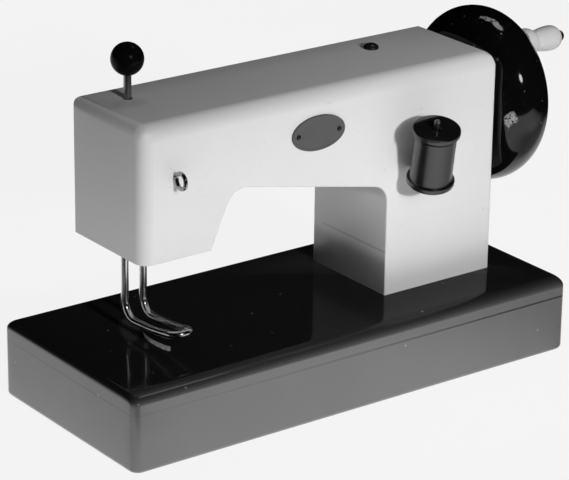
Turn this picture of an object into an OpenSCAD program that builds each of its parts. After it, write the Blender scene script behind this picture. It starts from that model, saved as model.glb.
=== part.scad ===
// Toy sewing machine: a wooden body on a lacquered base, with a hand wheel, a sliding foot and a loose spool.
// Origin: middle of the base's underside. +X runs along the base to the hand wheel, +Y to the back, +Z up.

/* [Base] */
// Length of the base
base_l = 250; // [230:1:300]
// Depth of the base, front to back
base_d = 108.6; // [96:0.1:130]
// Height of the whole base
base_h = 37.1; // [32:0.1:46]
// Thickness of the board that tops the base
board_t = 8.8; // [7:0.1:12]
// Radius of the base's rounded upper edges
base_edge_r = 4.2; // [2:0.1:5.5]
// Radius of the base's upright edges
base_corner_r = 2.6; // [1:0.1:4]

/* [Body] */
// Depth of the body, front to back
body_d = 56.2; // [52:0.1:66]
// Height of the body above the base
body_h = 108.9; // [100:0.1:122]
// Bare length of base left of the head
body_end_inset = 26.3; // [18:0.1:34]
// Bare length of base right of the body, under the wheel
body_wheel_inset = 21.6; // [12:0.1:30]
// Bare depth of base in front of the body
body_front_inset = 32.3; // [26:0.1:38]
// Radius of the body's rounded edges, in front and along both ends
body_edge_r = 5; // [4:0.1:6.5]
// Radius of the body's upright front edge beside the wheel
body_wheel_r = 2.2; // [1.5:0.1:4]
// Radius of the body's edges at the back
body_back_r = 2; // [1:0.1:3.5]
// Width of the column that carries the arm
column_w = 65; // [57:0.1:72]
// Thickness of the arm above the highest point of the throat
arm_t = 36.4; // [33:0.1:42]
// How far the throat's ceiling falls from the head to the column
throat_fall = 18.1; // [10:0.1:24]
// How far the head's inner edge leans out on its way up to the throat
head_lean = 12.1; // [8:0.1:16]
// Radius of the throat's corner beside the head
throat_head_r = 10.5; // [8:0.1:13]
// Radius of the throat's corner beside the column
throat_column_r = 9; // [7:0.1:12]
// Wood between the head's chamber and its inner edge, at the bottom
head_wall = 4; // [3.5:0.1:6]
// Wood under the head's chamber
head_floor_t = 8.5; // [8:0.1:12]
// Diameter of the hole in the top that the knob's rod comes through
top_hole_d = 5; // [4.5:0.1:6]

/* [Rear cover] */
// Thickness of the cover behind the head
cover_t = 4; // [3:0.1:5]
// Width of the ledge that the cover lies on, beside the chamber
cover_lip = 3; // [2:0.1:3.5]
// Flat wood left between the cover and the body's rounded end
cover_margin = 1.8; // [1:0.1:2.6]
// Flat wood left between the cover and the body's upper edge
cover_top_margin = 4.4; // [2:0.1:6]
// Flat wood left between the cover and the head's underside
cover_foot_margin = 2.3; // [1.5:0.1:3]
// Head diameter of the cover's screws
cover_screw_head_d = 4.2; // [3.6:0.1:5]
// Shank diameter of the cover's screws
cover_screw_d = 2.2; // [1.8:0.1:2.8]
// Length of the cover's screws under the head
cover_screw_l = 13; // [9:0.5:16]

/* [Column screws] */
// Shank diameter of the two screws that hold the column down
column_screw_d = 4.5; // [4:0.1:6]
// Head diameter of those screws
column_screw_head_d = 8.5; // [7.5:0.1:10]
// Length of those screws under the head
column_screw_l = 55; // [45:1:65]
// Depth of the counterbore under the base
column_screw_recess = 14; // [10:0.5:18]
// Distance between the two screws
column_screw_pitch = 30; // [24:0.5:38]

/* [Drive] */
// Diameter of the drive shaft
shaft_d = 5; // [4.4:0.1:6]
// Diameter of the shaft's end, inside the wheel
shaft_end_d = 4; // [3.4:0.1:4.3]
// Distance of the shaft behind the body's middle plane
shaft_back = 5; // [2:0.1:7]
// Wood between the shaft's tunnel and the throat's highest corner
shaft_wall = 1.4; // [1.2:0.1:3]
// Outer diameter of the shaft's bushes
bush_d = 9; // [8:0.1:10]
// Length of the shaft's bushes
bush_l = 12; // [9:0.5:16]
// Thickness of the flange on the wheel's bush
bush_flange_t = 1.2; // [0.8:0.1:1.6]
// Diameter of that flange
bush_flange_d = 14; // [12:0.1:18]
// Thickness of the washers on both sides of the wheel
washer_t = 0.5; // [0.4:0.1:1]
// Throw of the crank, half the needle's stroke
crank_r = 5; // [4:0.1:5.6]
// Diameter of the crank pin
crank_pin_d = 3; // [2.5:0.1:3.5]
// Thickness of the crank disc
crank_disc_t = 5; // [4:0.1:6]
// Rest angle of the crank, above the level, pin towards the back
crank_rest_angle = -37; // [-60:1:30]

/* [Hand wheel] */
// Diameter of the hand wheel
wheel_d = 86; // [78:0.5:96]
// Radius of the wheel's full round rim, half its thickness
wheel_rim_r = 15.5; // [13:0.1:18]
// Width of the wheel's nut across its flats
nut_w = 8; // [7:0.1:9]
// Height of the wheel's nut without its dome
nut_h = 4; // [3:0.1:5]

/* [Handle] */
// Distance of the handle from the wheel's rim
handle_inset = 15.3; // [12:0.1:20]
// Rest angle of the handle, from straight up towards the front
handle_rest_angle = 25.6; // [0:0.1:90]
// Diameter of the ball next to the wheel
handle_ball_d = 14.4; // [12:0.1:17]
// Diameter of the egg shaped grip
handle_grip_d = 12.4; // [10:0.1:15]
// Distance from the wheel to the middle of the ball
handle_ball_x = 2; // [1.5:0.1:3]
// Distance from the wheel to the thickest part of the grip
handle_grip_x = 17.4; // [15:0.1:20]
// Length of the handle without its nail's head
handle_l = 23.2; // [21:0.1:27]
// Diameter of the nail that the handle turns on
handle_pin_d = 3; // [2.5:0.1:3.5]
// Diameter of that nail's round head
handle_pin_head_d = 6; // [5:0.1:7]

/* [Needle and foot] */
// Diameter of the knob's rod
rod_d = 3.6; // [2.6:0.1:3.8]
// Distance of the rod behind the shaft
rod_back = 7.1; // [5.5:0.1:9]
// Diameter of the knob
knob_d = 15.3; // [13:0.1:19]
// Height of the knob's middle above the body
knob_lift = 18.4; // [15:0.1:24]
// Diameter of the foot's wire
wire_d = 3.6; // [2.6:0.1:4]
// Distance between the foot's two legs
leg_gap = 9.9; // [8.5:0.1:12]
// Distance of the legs behind the shaft
leg_back = 3; // [2:0.1:5]
// Height of the wire's middle above the base, at its lowest
foot_lift = 6.2; // [5:0.1:9]
// Bend radius where each leg turns forward
foot_bend_r = 8; // [6:0.1:11]
// Length of the foot's gently rising run, bend to toe
foot_run = 27.5; // [24:0.1:36]
// Radius of that gentle rise
foot_rise_r = 180; // [140:1:260]
// Rise of the foot where the bend ends
foot_rise_angle = 2; // [0:0.5:6]

/* [Spool] */
// Diameter of the spool's flanges
spool_d = 22.6; // [19:0.1:26]
// Diameter of the spool's barrel
spool_barrel_d = 19.8; // [16:0.1:21]
// Height of the spool
spool_h = 30; // [25:0.1:36]
// Thickness of the spool's flanges at the rim
spool_flange_t = 2; // [1.5:0.1:3]
// Diameter of the spool's bore
spool_bore_d = 4.2; // [4:0.1:5]
// Lean of the spool towards the front
spool_lean = 14.5; // [8:0.5:20]
// Lean of the spool towards the head
spool_tilt = 6.3; // [0:0.1:10]
// Clearance between the spool's lower flange and the body
spool_face_gap = 1.5; // [0.8:0.1:4]
// Diameter of the hook's wire
hook_d = 3; // [2.6:0.1:3.2]
// Bend radius of the hook
hook_bend_r = 4; // [3.5:0.1:5]
// Height of the hook's shank above the base
hook_h = 56; // [48:0.1:64]
// Distance of the hook from the column's inner side
hook_in = 15.5; // [10:0.1:24]
// How far the hook's tip stands out of the spool
hook_tip = 4.5; // [3:0.1:8]
// Length of the hook's shank in the wood
hook_root = 16; // [12:0.1:22]

/* [Fittings] */
// Mean diameter of the thread eye's ring
eye_d = 7; // [6:0.1:9]
// Diameter of the thread eye's wire
eye_wire_d = 2; // [1.6:0.1:2.2]
// Open angle of the thread eye's ring
eye_open_angle = 34; // [20:1:50]
// Distance of the thread eye from the head's end
eye_in = 17.4; // [12:0.1:24]
// Distance of the thread eye below the top
eye_drop = 25.8; // [20:0.1:32]
// Length of the thread eye's shank in the wood
eye_root = 11; // [8:0.1:13]
// Diameter of the dome stud's head
stud_d = 7.5; // [6:0.1:9]
// Height of the dome stud's head
stud_h = 2.6; // [2:0.1:3.4]
// Distance of the dome stud from the wheel's end
stud_in = 46; // [38:0.1:54]
// Distance of the dome stud behind the body's middle plane
stud_back = 10.5; // [8:0.1:16]
// Length of the dome stud's nail
stud_root = 11; // [8:0.1:14]
// Width of the oval badge
badge_w = 30; // [26:0.1:36]
// Height of the oval badge
badge_h = 16.8; // [14:0.1:22]
// Thickness of the oval badge
badge_t = 0.8; // [0.6:0.1:1.4]
// Distance of the badge's middle from the head's end
badge_in = 96; // [84:0.1:110]
// Distance of the badge's middle below the top
badge_drop = 19.7; // [16:0.1:24]
// Distance between the badge's two pins
badge_pin_pitch = 23; // [19:0.1:24]
// Head diameter of the badge's pins
badge_pin_d = 2.4; // [2:0.1:3]

/* [Clearances] */
// Gap round a piece that is pressed or glued in place
fit_gap = 0.04; // [0.02:0.01:0.06]
// Gap round a shaft, rod or nail that turns or slides
run_gap = 0.08; // [0.05:0.01:0.1]
// Gap between moving faces
face_gap = 0.3; // [0.25:0.01:0.5]
// Gap between the crank pin and the yoke
pivot_gap = 0.5; // [0.4:0.1:0.6]
// Gap round each leg in the head's underside
leg_gap_round = 0.3; // [0.25:0.01:0.4]
// Gap round the shaft in its tunnel
tunnel_gap = 0.5; // [0.4:0.1:0.8]

/* [Hidden] */
$fn = 64;

// Overrun of every cut past the face that it opens
cut = 1;

// Colours
black_lacquer = [0.05, 0.05, 0.05];
white_paint = [0.90, 0.90, 0.87];
bright_steel = [0.75, 0.76, 0.78];
dull_steel = [0.50, 0.51, 0.53];
brass = [0.72, 0.58, 0.30];
badge_grey = [0.33, 0.33, 0.33];

// Small sizes of the inner pieces
bar_h = 6;
bar_wall = 1.25;
bar_gap = 1;
plate_rim = 4;
plate_end = 2.5;
plate_wall = 1.5;
slot_gap = 0.4;
slot_depth = 3;
slot_floor = 0.4;
chamber_play = 1.5;
disc_rim = 3;
rod_seat = 8;
leg_seat = 4.5;
guide_wall = 1.9;
guide_l = 10;
knob_seat = 9;
crank_screw_d = 2.5;
handle_pin_root = 12;
handle_pin_head_t = 2.8;
cover_corner_r = 1.5;
cover_screw_head_t = 1.5;
cover_screw_inset = 2.6;
column_screw_head_t = 3.2;
badge_pin_root = 6;
badge_pin_shank_d = 1.2;
badge_pin_head_t = 0.7;
stud_nail_d = 1.8;
spool_cove = 1.5;
spool_groove = 0.3;

// Runs of one piece reach this far into each other, and round shapes that join differ by this step
weld = 0.3;
weld_step = 0.02;

// Places of the body
body_l = base_l - body_end_inset - body_wheel_inset;
body_x0 = -base_l / 2 + body_end_inset;
body_x1 = body_x0 + body_l;
body_y = -base_d / 2 + body_front_inset + body_d / 2;
body_front = body_y - body_d / 2;
body_back = body_y + body_d / 2;
body_top = base_h + body_h;
column_x0 = body_x1 - column_w;
column_x = body_x1 - column_w / 2;

// Shaft, crank and stroke
tunnel_r = shaft_d / 2 + tunnel_gap;
throat_z = body_top - arm_t;
shaft_y = body_y + shaft_back;
shaft_z = throat_z + shaft_wall + tunnel_r;
crank_pin_r = crank_pin_d / 2;
disc_r = crank_r + crank_pin_r + disc_rim;
slot_z = shaft_z + crank_r * sin(crank_rest_angle);
stroke_up = crank_r * (1 - sin(crank_rest_angle));
stroke_down = crank_r * (1 + sin(crank_rest_angle));

// Yoke and chamber, upwards
slot_h = crank_pin_d + slot_gap;
bar_top = slot_z - 2 * crank_r - crank_pin_r - bar_gap;
bar_z = bar_top - bar_h;
floor_z = bar_z - stroke_down - face_gap;
head_z = floor_z - head_floor_t;
plate_top = slot_z + slot_h / 2 + plate_rim;
ceiling_z = plate_top + stroke_up + face_gap;

// Yoke and chamber, along the arm
wire_r = wire_d / 2;
rod_r = rod_d / 2;
cover_x0 = body_x0 + body_edge_r + cover_margin;
chamber_x0 = cover_x0 + cover_lip;
bar_half = leg_gap / 2 + wire_r + bar_wall;
needle_x = chamber_x0 + chamber_play + bar_half;
plate_x0 = needle_x - rod_r - plate_wall;
plate_x1 = needle_x + rod_r + slot_floor + slot_depth;
disc_x0 = max(needle_x + bar_half, plate_x1) + pivot_gap;
disc_x1 = disc_x0 + crank_disc_t;
chamber_x1 = disc_x1 + face_gap;
cover_x1 = chamber_x1 + cover_lip;
head_x1 = chamber_x1 + head_wall;

// Yoke and chamber, front to back
slot_half = crank_r + crank_pin_r + slot_gap;
plate_y0 = shaft_y - slot_half - plate_end;
rod_y = shaft_y + rod_back;
leg_y = shaft_y + leg_back;
plate_y1 = rod_y + rod_r + plate_wall;
bar_y0 = leg_y - wire_r - bar_wall;
chamber_y0 = min(plate_y0, shaft_y - disc_r) - chamber_play;
chamber_y1 = body_back - cover_t;
cover_z0 = head_z + cover_foot_margin;
cover_z1 = body_top - body_back_r - cover_top_margin;

// Hand wheel and handle
wheel_x0 = body_x1 + bush_flange_t + washer_t + face_gap;
wheel_x1 = wheel_x0 + 2 * wheel_rim_r;
wheel_r = wheel_d / 2;
handle_orbit = wheel_r - handle_inset;
handle_y = shaft_y - handle_orbit * sin(handle_rest_angle);
handle_z = shaft_z + handle_orbit * cos(handle_rest_angle);
handle_x0 = wheel_x1 + face_gap;
handle_tip_share = 0.88;
handle_neck_share = 1.9;

// Spool on its hook
hook_r = hook_d / 2;
spool_r = spool_d / 2;
hook_turn = 90 - spool_lean;
hook_tangent = hook_bend_r * tan(hook_turn / 2);
spool_play = spool_bore_d / 2 - hook_r;
bend_inner_r = hook_bend_r - hook_r;
spool_sink = sqrt(pow(bend_inner_r, 2) - pow(bend_inner_r - spool_play, 2));
spool_seat = hook_tangent - spool_sink + face_gap;
hook_out = spool_r * cos(spool_lean) - spool_seat * sin(spool_lean) + spool_face_gap;
hook_place = [column_x0 + hook_in, body_front - hook_out, base_h + hook_h];

// Unit vector along v
function unit(v) = v / norm(v);

// Middle of an arc of radius r that rounds the corner q between p and s
function arc_middle(p, q, s, r) =
  let (a = unit(p - q), b = unit(s - q))
  q + unit(a + b) * r / sin(acos(a * b) / 2);

// Point where that arc leaves the side from q to p
function arc_end(p, q, s, r) =
  let (a = unit(p - q), b = unit(s - q))
  q + a * r / tan(acos(a * b) / 2);

// Rectangle with round corners, centred; the two at the back, and the right one in front, have radii of their own
module round_plate(l, d, r, back_r, right_r) {
  x = l / 2;
  y = d / 2;
  polygon([
    [-x + r, -y], [x - right_r, -y],
    [x, -y + right_r], [x, y - back_r],
    [x - back_r, y], [-x + back_r, y],
    [-x, y - back_r], [-x, -y + r]
  ]);
  translate([-x + r, -y + r])
    circle(r = r);
  translate([x - right_r, -y + right_r])
    circle(r = right_r);
  for (side = [-1, 1])
    translate([side * (x - back_r), y - back_r])
      circle(r = back_r);
}

// Rectangle that stands on its lower edge and has round upper corners, each with its own radius
module round_top(l, h, left_r, right_r) {
  x = l / 2;
  polygon([
    [-x, 0], [x, 0],
    [x, h - right_r], [x - right_r, h],
    [-x + left_r, h], [-x, h - left_r]
  ]);
  translate([-x + left_r, h - left_r])
    circle(r = left_r);
  translate([x - right_r, h - right_r])
    circle(r = right_r);
}

// Upright profile, drawn across the part and seen from the front, pulled through its depth
module pull_front(d) {
  translate([0, d / 2, 0])
    rotate([90, 0, 0])
      linear_extrude(d)
        children();
}

// Upright profile, seen from the end, pulled through its length
module pull_side(l) {
  translate([-l / 2, 0, 0])
    rotate([90, 0, 90])
      linear_extrude(l)
        children();
}

// Block with round upright edges and round upper edges; those at the back have radii of their own
module round_block(l, d, h, corner_r, back_corner_r, right_corner_r, edge_r, back_edge_r) {
  intersection() {
    linear_extrude(h)
      round_plate(l, d, corner_r, back_corner_r, right_corner_r);
    pull_front(d)
      round_top(l, h, edge_r, edge_r);
    pull_side(l)
      round_top(d, h, edge_r, back_edge_r);
  }
}

// Turns a shape that is drawn along Z so that it runs along X
module along_x() {
  rotate([0, 90, 0])
    children();
}

// Places a shape on the shaft's axis, x along the arm
module on_shaft(x) {
  translate([x, shaft_y, shaft_z])
    along_x()
      children();
}

// Dome of width d and height h over the origin
module dome(d, h) {
  ball_r = (pow(d / 2, 2) + pow(h, 2)) / (2 * h);
  intersection() {
    translate([0, 0, h - ball_r])
      sphere(r = ball_r);
    cylinder(h = h, d = d);
  }
}

// Bent wire of radius r, turning by angle about the origin at bend radius bend_r
module wire_arc(bend_r, r, angle) {
  rotate_extrude(angle = angle)
    translate([bend_r, 0])
      circle(r = r);
}

// The same, reaching into the thicker run of wire at each end
module wire_bend(bend_r, r, angle) {
  reach = weld / bend_r * 180 / PI;
  rotate([0, 0, -reach])
    wire_arc(bend_r, r - weld_step, angle + 2 * reach);
}

// Maps a drawing plane onto the plane of Y and Z
module in_side_plane() {
  rotate([90, 0, 90])
    children();
}

// Places of the two screws that hold the column
module at_column_screws() {
  for (side = [-1, 1])
    translate([column_x + side * column_screw_pitch / 2, body_y, 0])
      children();
}

// Shank hole for those screws
module column_screw_holes(gap) {
  at_column_screws()
    cylinder(h = column_screw_recess + column_screw_l + gap, d = column_screw_d + 2 * gap);
}

module base_block() {
  color(black_lacquer)
    difference() {
      linear_extrude(base_h - board_t)
        round_plate(base_l, base_d, base_corner_r, base_corner_r, base_corner_r);
      column_screw_holes(fit_gap);
      at_column_screws()
        translate([0, 0, -cut])
          cylinder(h = cut + column_screw_recess, d = column_screw_head_d + 2 * face_gap);
    }
}

module base_board() {
  color(black_lacquer)
    difference() {
      translate([0, 0, base_h - board_t])
        round_block(base_l, base_d, board_t, base_corner_r, base_corner_r, base_corner_r, base_edge_r, base_edge_r);
      column_screw_holes(fit_gap);
    }
}

module column_screws() {
  color(dull_steel)
    at_column_screws() {
      translate([0, 0, column_screw_recess - column_screw_head_t])
        cylinder(h = column_screw_head_t, d = column_screw_head_d);
      translate([0, 0, column_screw_recess - weld])
        cylinder(h = weld + column_screw_l, d = column_screw_d);
    }
}

// Space under the arm, in the body's front view, with the body's lower corner at the head's end as origin.
// Its corner circles reach weld_step past the straight sides, so that they cross them.
module throat_outline() {
  head_corner = [head_x1 - body_x0, head_z - base_h];
  peak = [head_corner[0] + head_lean, throat_z - base_h];
  bend = [body_l - column_w, peak[1] - throat_fall];
  foot = [bend[0], -cut];
  polygon([
    [-cut, -cut],
    [-cut, head_corner[1]],
    head_corner,
    arc_end(head_corner, peak, bend, throat_head_r),
    arc_end(bend, peak, head_corner, throat_head_r),
    arc_end(peak, bend, foot, throat_column_r),
    arc_end(foot, bend, peak, throat_column_r),
    foot
  ]);
  translate(arc_middle(head_corner, peak, bend, throat_head_r))
    circle(r = throat_head_r + weld_step);
  translate(arc_middle(peak, bend, foot, throat_column_r))
    circle(r = throat_column_r + weld_step);
}

// Chamber in the head, open to the back
module chamber() {
  translate([chamber_x0, chamber_y0, floor_z])
    cube([chamber_x1 - chamber_x0, body_back - chamber_y0 + cut, ceiling_z - floor_z]);
}

// Outline of the cover behind the head, thickened, smaller all round by gap
module cover_slab(gap, t) {
  w = cover_x1 - cover_x0 - 2 * gap;
  h = cover_z1 - cover_z0 - 2 * gap;
  translate([(cover_x0 + cover_x1) / 2, body_back - cover_t, (cover_z0 + cover_z1) / 2])
    rotate([-90, 0, 0])
      linear_extrude(t)
        round_plate(w, h, cover_corner_r, cover_corner_r, cover_corner_r);
}

// Places of the cover's screws, drawn along Z into the wood
module at_cover_screws() {
  for (x = [chamber_x0 + cover_screw_inset, chamber_x1 - cover_screw_inset])
    for (z = [(cover_z0 + floor_z) / 2, (cover_z1 + ceiling_z) / 2])
      translate([x, body_back, z])
        rotate([90, 0, 0])
          children();
}

module cover_screw_holes() {
  at_cover_screws()
    cylinder(h = cover_screw_l + fit_gap, d = cover_screw_d + 2 * fit_gap);
}

module body_block() {
  translate([(body_x0 + body_x1) / 2, body_y, base_h])
    difference() {
      round_block(body_l, body_d, body_h, body_edge_r, body_back_r, body_wheel_r, body_edge_r, body_back_r);
      translate([-body_l / 2, 0, 0])
        pull_front(body_d + 2 * cut)
          throat_outline();
    }
}

// Legs of the foot, as holes with a gap round the wire
module leg_holes() {
  for (side = [-1, 1])
    translate([needle_x + side * leg_gap / 2, leg_y, head_z - cut])
      cylinder(h = head_floor_t + 2 * cut, r = wire_r + leg_gap_round);
}

module arm_body() {
  color(white_paint)
    difference() {
      body_block();
      chamber();
      cover_slab(0, cover_t + cut);
      cover_screw_holes();
      column_screw_holes(fit_gap);
      leg_holes();
      translate([needle_x, rod_y, ceiling_z - cut])
        cylinder(h = body_top - ceiling_z + 2 * cut, d = top_hole_d);
      translate([needle_x, rod_y, ceiling_z - cut])
        cylinder(h = guide_l + cut, r = rod_r + guide_wall + fit_gap);
      on_shaft(chamber_x1 - cut)
        cylinder(h = body_x1 - chamber_x1 + 2 * cut, r = tunnel_r);
      on_shaft(chamber_x1 - cut)
        cylinder(h = bush_l + cut, d = bush_d + 2 * fit_gap);
      on_shaft(body_x1 - bush_l)
        cylinder(h = bush_l + cut, d = bush_d + 2 * fit_gap);
      hook_frame()
        cylinder_along_y(hook_out - cut, hook_root + cut + fit_gap, hook_r + fit_gap);
      eye_frame()
        cylinder_along_y(eye_out() - cut, eye_root + cut + fit_gap, eye_wire_d / 2 + fit_gap);
      translate([body_x1 - stud_in, body_y + stud_back, body_top - stud_root - fit_gap])
        cylinder(h = stud_root + cut, d = stud_nail_d + 2 * fit_gap);
      at_badge_pins()
        cylinder(h = badge_pin_root + fit_gap, d = badge_pin_shank_d + 2 * fit_gap);
    }
}

module rear_cover() {
  color(white_paint)
    difference() {
      cover_slab(fit_gap, cover_t);
      cover_screw_holes();
    }
}

module cover_screws() {
  color(bright_steel)
    at_cover_screws() {
      translate([0, 0, -weld])
        cylinder(h = weld + cover_screw_l, d = cover_screw_d);
      mirror([0, 0, 1])
        dome(cover_screw_head_d, cover_screw_head_t);
    }
}

module shaft_bush_head() {
  color(brass)
    on_shaft(chamber_x1)
      ring(bush_d, shaft_d / 2 + run_gap, bush_l);
}

module shaft_bush_wheel() {
  length = bush_l + bush_flange_t;
  color(brass)
    on_shaft(body_x1 - bush_l)
      difference() {
        union() {
          cylinder(h = length, d = bush_d);
          translate([0, 0, bush_l])
            cylinder(h = bush_flange_t, d = bush_flange_d);
        }
        translate([0, 0, -cut])
          cylinder(h = length + 2 * cut, r = shaft_d / 2 + run_gap);
      }
}

// Flat ring of outer diameter d round a hole of radius hole_r
module ring(d, hole_r, t) {
  difference() {
    cylinder(h = t, d = d);
    translate([0, 0, -cut])
      cylinder(h = t + 2 * cut, r = hole_r);
  }
}

module thrust_washer() {
  color(bright_steel)
    on_shaft(wheel_x0 - washer_t)
      ring(bush_flange_d, shaft_d / 2 + fit_gap, washer_t);
}

module drive_shaft() {
  color(bright_steel) {
    on_shaft(disc_x0)
      cylinder(h = wheel_x0 - disc_x0, d = shaft_d);
    on_shaft(disc_x0)
      cylinder(h = wheel_x1 - disc_x0 + washer_t + nut_h, d = shaft_end_d);
  }
}

module hand_wheel() {
  color(black_lacquer)
    difference() {
      on_shaft(wheel_x0)
        difference() {
          rotate_extrude() {
            square([wheel_r - wheel_rim_r, 2 * wheel_rim_r]);
            translate([wheel_r - wheel_rim_r, wheel_rim_r])
              difference() {
                circle(r = wheel_rim_r);
                translate([-2 * wheel_rim_r, -wheel_rim_r])
                  square(2 * wheel_rim_r);
              }
          }
          translate([0, 0, -cut])
            cylinder(h = 2 * wheel_rim_r + 2 * cut, d = shaft_end_d + 2 * fit_gap);
        }
      translate([wheel_x1 - handle_pin_root - fit_gap, handle_y, handle_z])
        along_x()
          cylinder(h = handle_pin_root + cut, d = handle_pin_d + 2 * fit_gap);
    }
}

module wheel_washer() {
  color(bright_steel)
    on_shaft(wheel_x1)
      ring(bush_flange_d, shaft_end_d / 2 + fit_gap, washer_t);
}

module wheel_nut() {
  nut_d = nut_w / cos(30);
  color(bright_steel)
    on_shaft(wheel_x1 + washer_t)
      difference() {
        union() {
          cylinder(h = nut_h, d = nut_d, $fn = 6);
          cylinder(h = nut_h + weld, d = (nut_w + shaft_end_d) / 2);
          translate([0, 0, nut_h])
            dome(nut_w, nut_w / 2);
        }
        translate([0, 0, -cut])
          cylinder(h = nut_h + cut + fit_gap, d = shaft_end_d + 2 * fit_gap);
      }
}

// Radius of the turned handle at distance x from the wheel: a ball that meets an egg in a crease
function ball_at(x) =
  let (r = handle_ball_d / 2)
  sqrt(max(0, pow(r, 2) - pow(x - handle_ball_x, 2)));
function grip_at(x) =
  let (
    tail = (handle_l - handle_grip_x) / handle_tip_share,
    neck = (handle_grip_x - handle_ball_x) / 2 * handle_neck_share,
    half = x > handle_grip_x ? tail : neck
  )
  handle_grip_d / 2 * sqrt(max(0, 1 - pow((x - handle_grip_x) / half, 2)));
handle_steps = 36;
handle_outline = [
  for (i = [0:handle_steps])
    let (x = handle_l * i / handle_steps)
    [max(ball_at(x), grip_at(x)), x]
];

module handle_grip() {
  color(white_paint)
    translate([handle_x0, handle_y, handle_z])
      along_x()
        difference() {
          rotate_extrude()
            polygon(concat([[0, 0]], handle_outline, [[0, handle_l]]));
          translate([0, 0, -cut])
            cylinder(h = handle_l + 2 * cut, r = handle_pin_d / 2 + run_gap);
        }
}

module handle_pin() {
  color(black_lacquer)
    translate([wheel_x1 - handle_pin_root, handle_y, handle_z])
      along_x() {
        pin_l = handle_pin_root + handle_l + 2 * face_gap;
        cylinder(h = pin_l + weld, d = handle_pin_d);
        translate([0, 0, pin_l])
          dome(handle_pin_head_d, handle_pin_head_t);
      }
}

// Places a shape on the crank pin's axis, at rest
module on_crank_pin(x) {
  translate([x, shaft_y + crank_r * cos(crank_rest_angle), slot_z])
    along_x()
      children();
}

module crank_disc() {
  color(dull_steel)
    difference() {
      on_shaft(disc_x0)
        ring(2 * disc_r, shaft_d / 2 + fit_gap, crank_disc_t);
      on_crank_pin(disc_x0 - cut)
        cylinder(h = crank_disc_t + 2 * cut, r = crank_pin_r + fit_gap);
      crank_screw_shape(fit_gap, cut);
    }
}

module crank_pin() {
  color(bright_steel)
    on_crank_pin(plate_x1 + pivot_gap)
      cylinder(h = disc_x1 - plate_x1 - pivot_gap, r = crank_pin_r);
}

// Set screw from the disc's rim to the shaft, opposite the crank pin
module crank_screw_shape(gap, over) {
  translate([disc_x0 + crank_disc_t / 2, shaft_y, shaft_z])
    rotate([crank_rest_angle + 90, 0, 0])
      translate([0, 0, shaft_d / 2 + fit_gap])
        cylinder(h = disc_r - shaft_d / 2 - fit_gap + over, d = crank_screw_d + 2 * gap);
}

module crank_screw() {
  color(dull_steel)
    crank_screw_shape(0, 0);
}

module needle_yoke() {
  color(dull_steel)
    difference() {
      union() {
        translate([plate_x0, plate_y0, bar_z])
          cube([plate_x1 - plate_x0, plate_y1 - plate_y0, plate_top - bar_z]);
        translate([needle_x - bar_half, bar_y0, bar_z])
          cube([2 * bar_half, plate_y1 - bar_y0, bar_h]);
      }
      translate([plate_x1 - slot_depth, shaft_y - slot_half, slot_z - slot_h / 2])
        cube([slot_depth + cut, 2 * slot_half, slot_h]);
      translate([needle_x, rod_y, plate_top - rod_seat])
        cylinder(h = rod_seat + cut, r = rod_r + fit_gap);
      for (side = [-1, 1])
        translate([needle_x + side * leg_gap / 2, leg_y, bar_z - cut])
          cylinder(h = leg_seat + cut, r = wire_r + fit_gap);
    }
}

module needle_rod() {
  color(bright_steel)
    translate([needle_x, rod_y, plate_top - rod_seat])
      cylinder(h = body_top + knob_lift - knob_d / 2 + knob_seat - plate_top + rod_seat, r = rod_r);
}

module rod_guide() {
  color(brass)
    translate([needle_x, rod_y, ceiling_z])
      ring(rod_d + 2 * guide_wall, rod_r + run_gap, guide_l);
}

module ball_knob() {
  color(black_lacquer)
    translate([needle_x, rod_y, body_top + knob_lift])
      difference() {
        sphere(d = knob_d);
        translate([0, 0, -knob_d / 2 - cut])
          cylinder(h = knob_seat + cut, r = rod_r + fit_gap);
      }
}

// One side of the foot in the plane of Y and Z: leg, bend and rising run
bend_sweep = 90 + foot_rise_angle;
run_sweep = foot_run / foot_rise_r * 180 / PI;
toe_angle = bend_sweep + run_sweep;
bend_middle = [leg_y - foot_bend_r, base_h + foot_lift + foot_bend_r];
bend_out = [cos(bend_sweep), -sin(bend_sweep)];
run_middle = bend_middle + (foot_bend_r - foot_rise_r) * bend_out;
toe_middle = run_middle + foot_rise_r * [cos(toe_angle), -sin(toe_angle)];

module foot_side() {
  translate([0, leg_y, bend_middle[1]])
    cylinder(h = bar_z + leg_seat - bend_middle[1], r = wire_r);
  in_side_plane() {
    translate(bend_middle)
      rotate([0, 0, -bend_sweep])
        wire_bend(foot_bend_r, wire_r, bend_sweep);
    translate(run_middle)
      rotate([0, 0, -toe_angle])
        wire_arc(foot_rise_r, wire_r, run_sweep);
  }
}

module foot_wire() {
  color(bright_steel)
    translate([needle_x, 0, 0]) {
      for (side = [-1, 1])
        translate([side * leg_gap / 2, 0, 0])
          foot_side();
      translate([0, toe_middle[0], toe_middle[1]])
        rotate([-(toe_angle + 90), 0, 0])
          wire_bend(leg_gap / 2, wire_r, 180);
    }
}

// Frame of the spool's hook: the corner of shank and arm, turned about the shank
module hook_frame() {
  translate(hook_place)
    rotate([0, -spool_tilt, 0])
      children();
}

// Rod of radius r that starts at y and runs l to the back
module cylinder_along_y(y, l, r) {
  translate([0, y, 0])
    rotate([-90, 0, 0])
      cylinder(h = l, r = r);
}

// Half outline of the spool: two flanges, coves under them and a straight barrel with a turned groove
module spool_outline() {
  barrel_r = spool_barrel_d / 2;
  low = spool_flange_t;
  high = spool_h - spool_flange_t;
  polygon([
    [0, 0],
    [spool_r, 0],
    [spool_r, low],
    [barrel_r, low],
    [barrel_r, high - spool_cove - spool_groove],
    [barrel_r - spool_groove, high - spool_cove - spool_groove / 2],
    [barrel_r, high - spool_cove],
    [spool_r, high],
    [spool_r, spool_h],
    [0, spool_h]
  ]);
}

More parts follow.
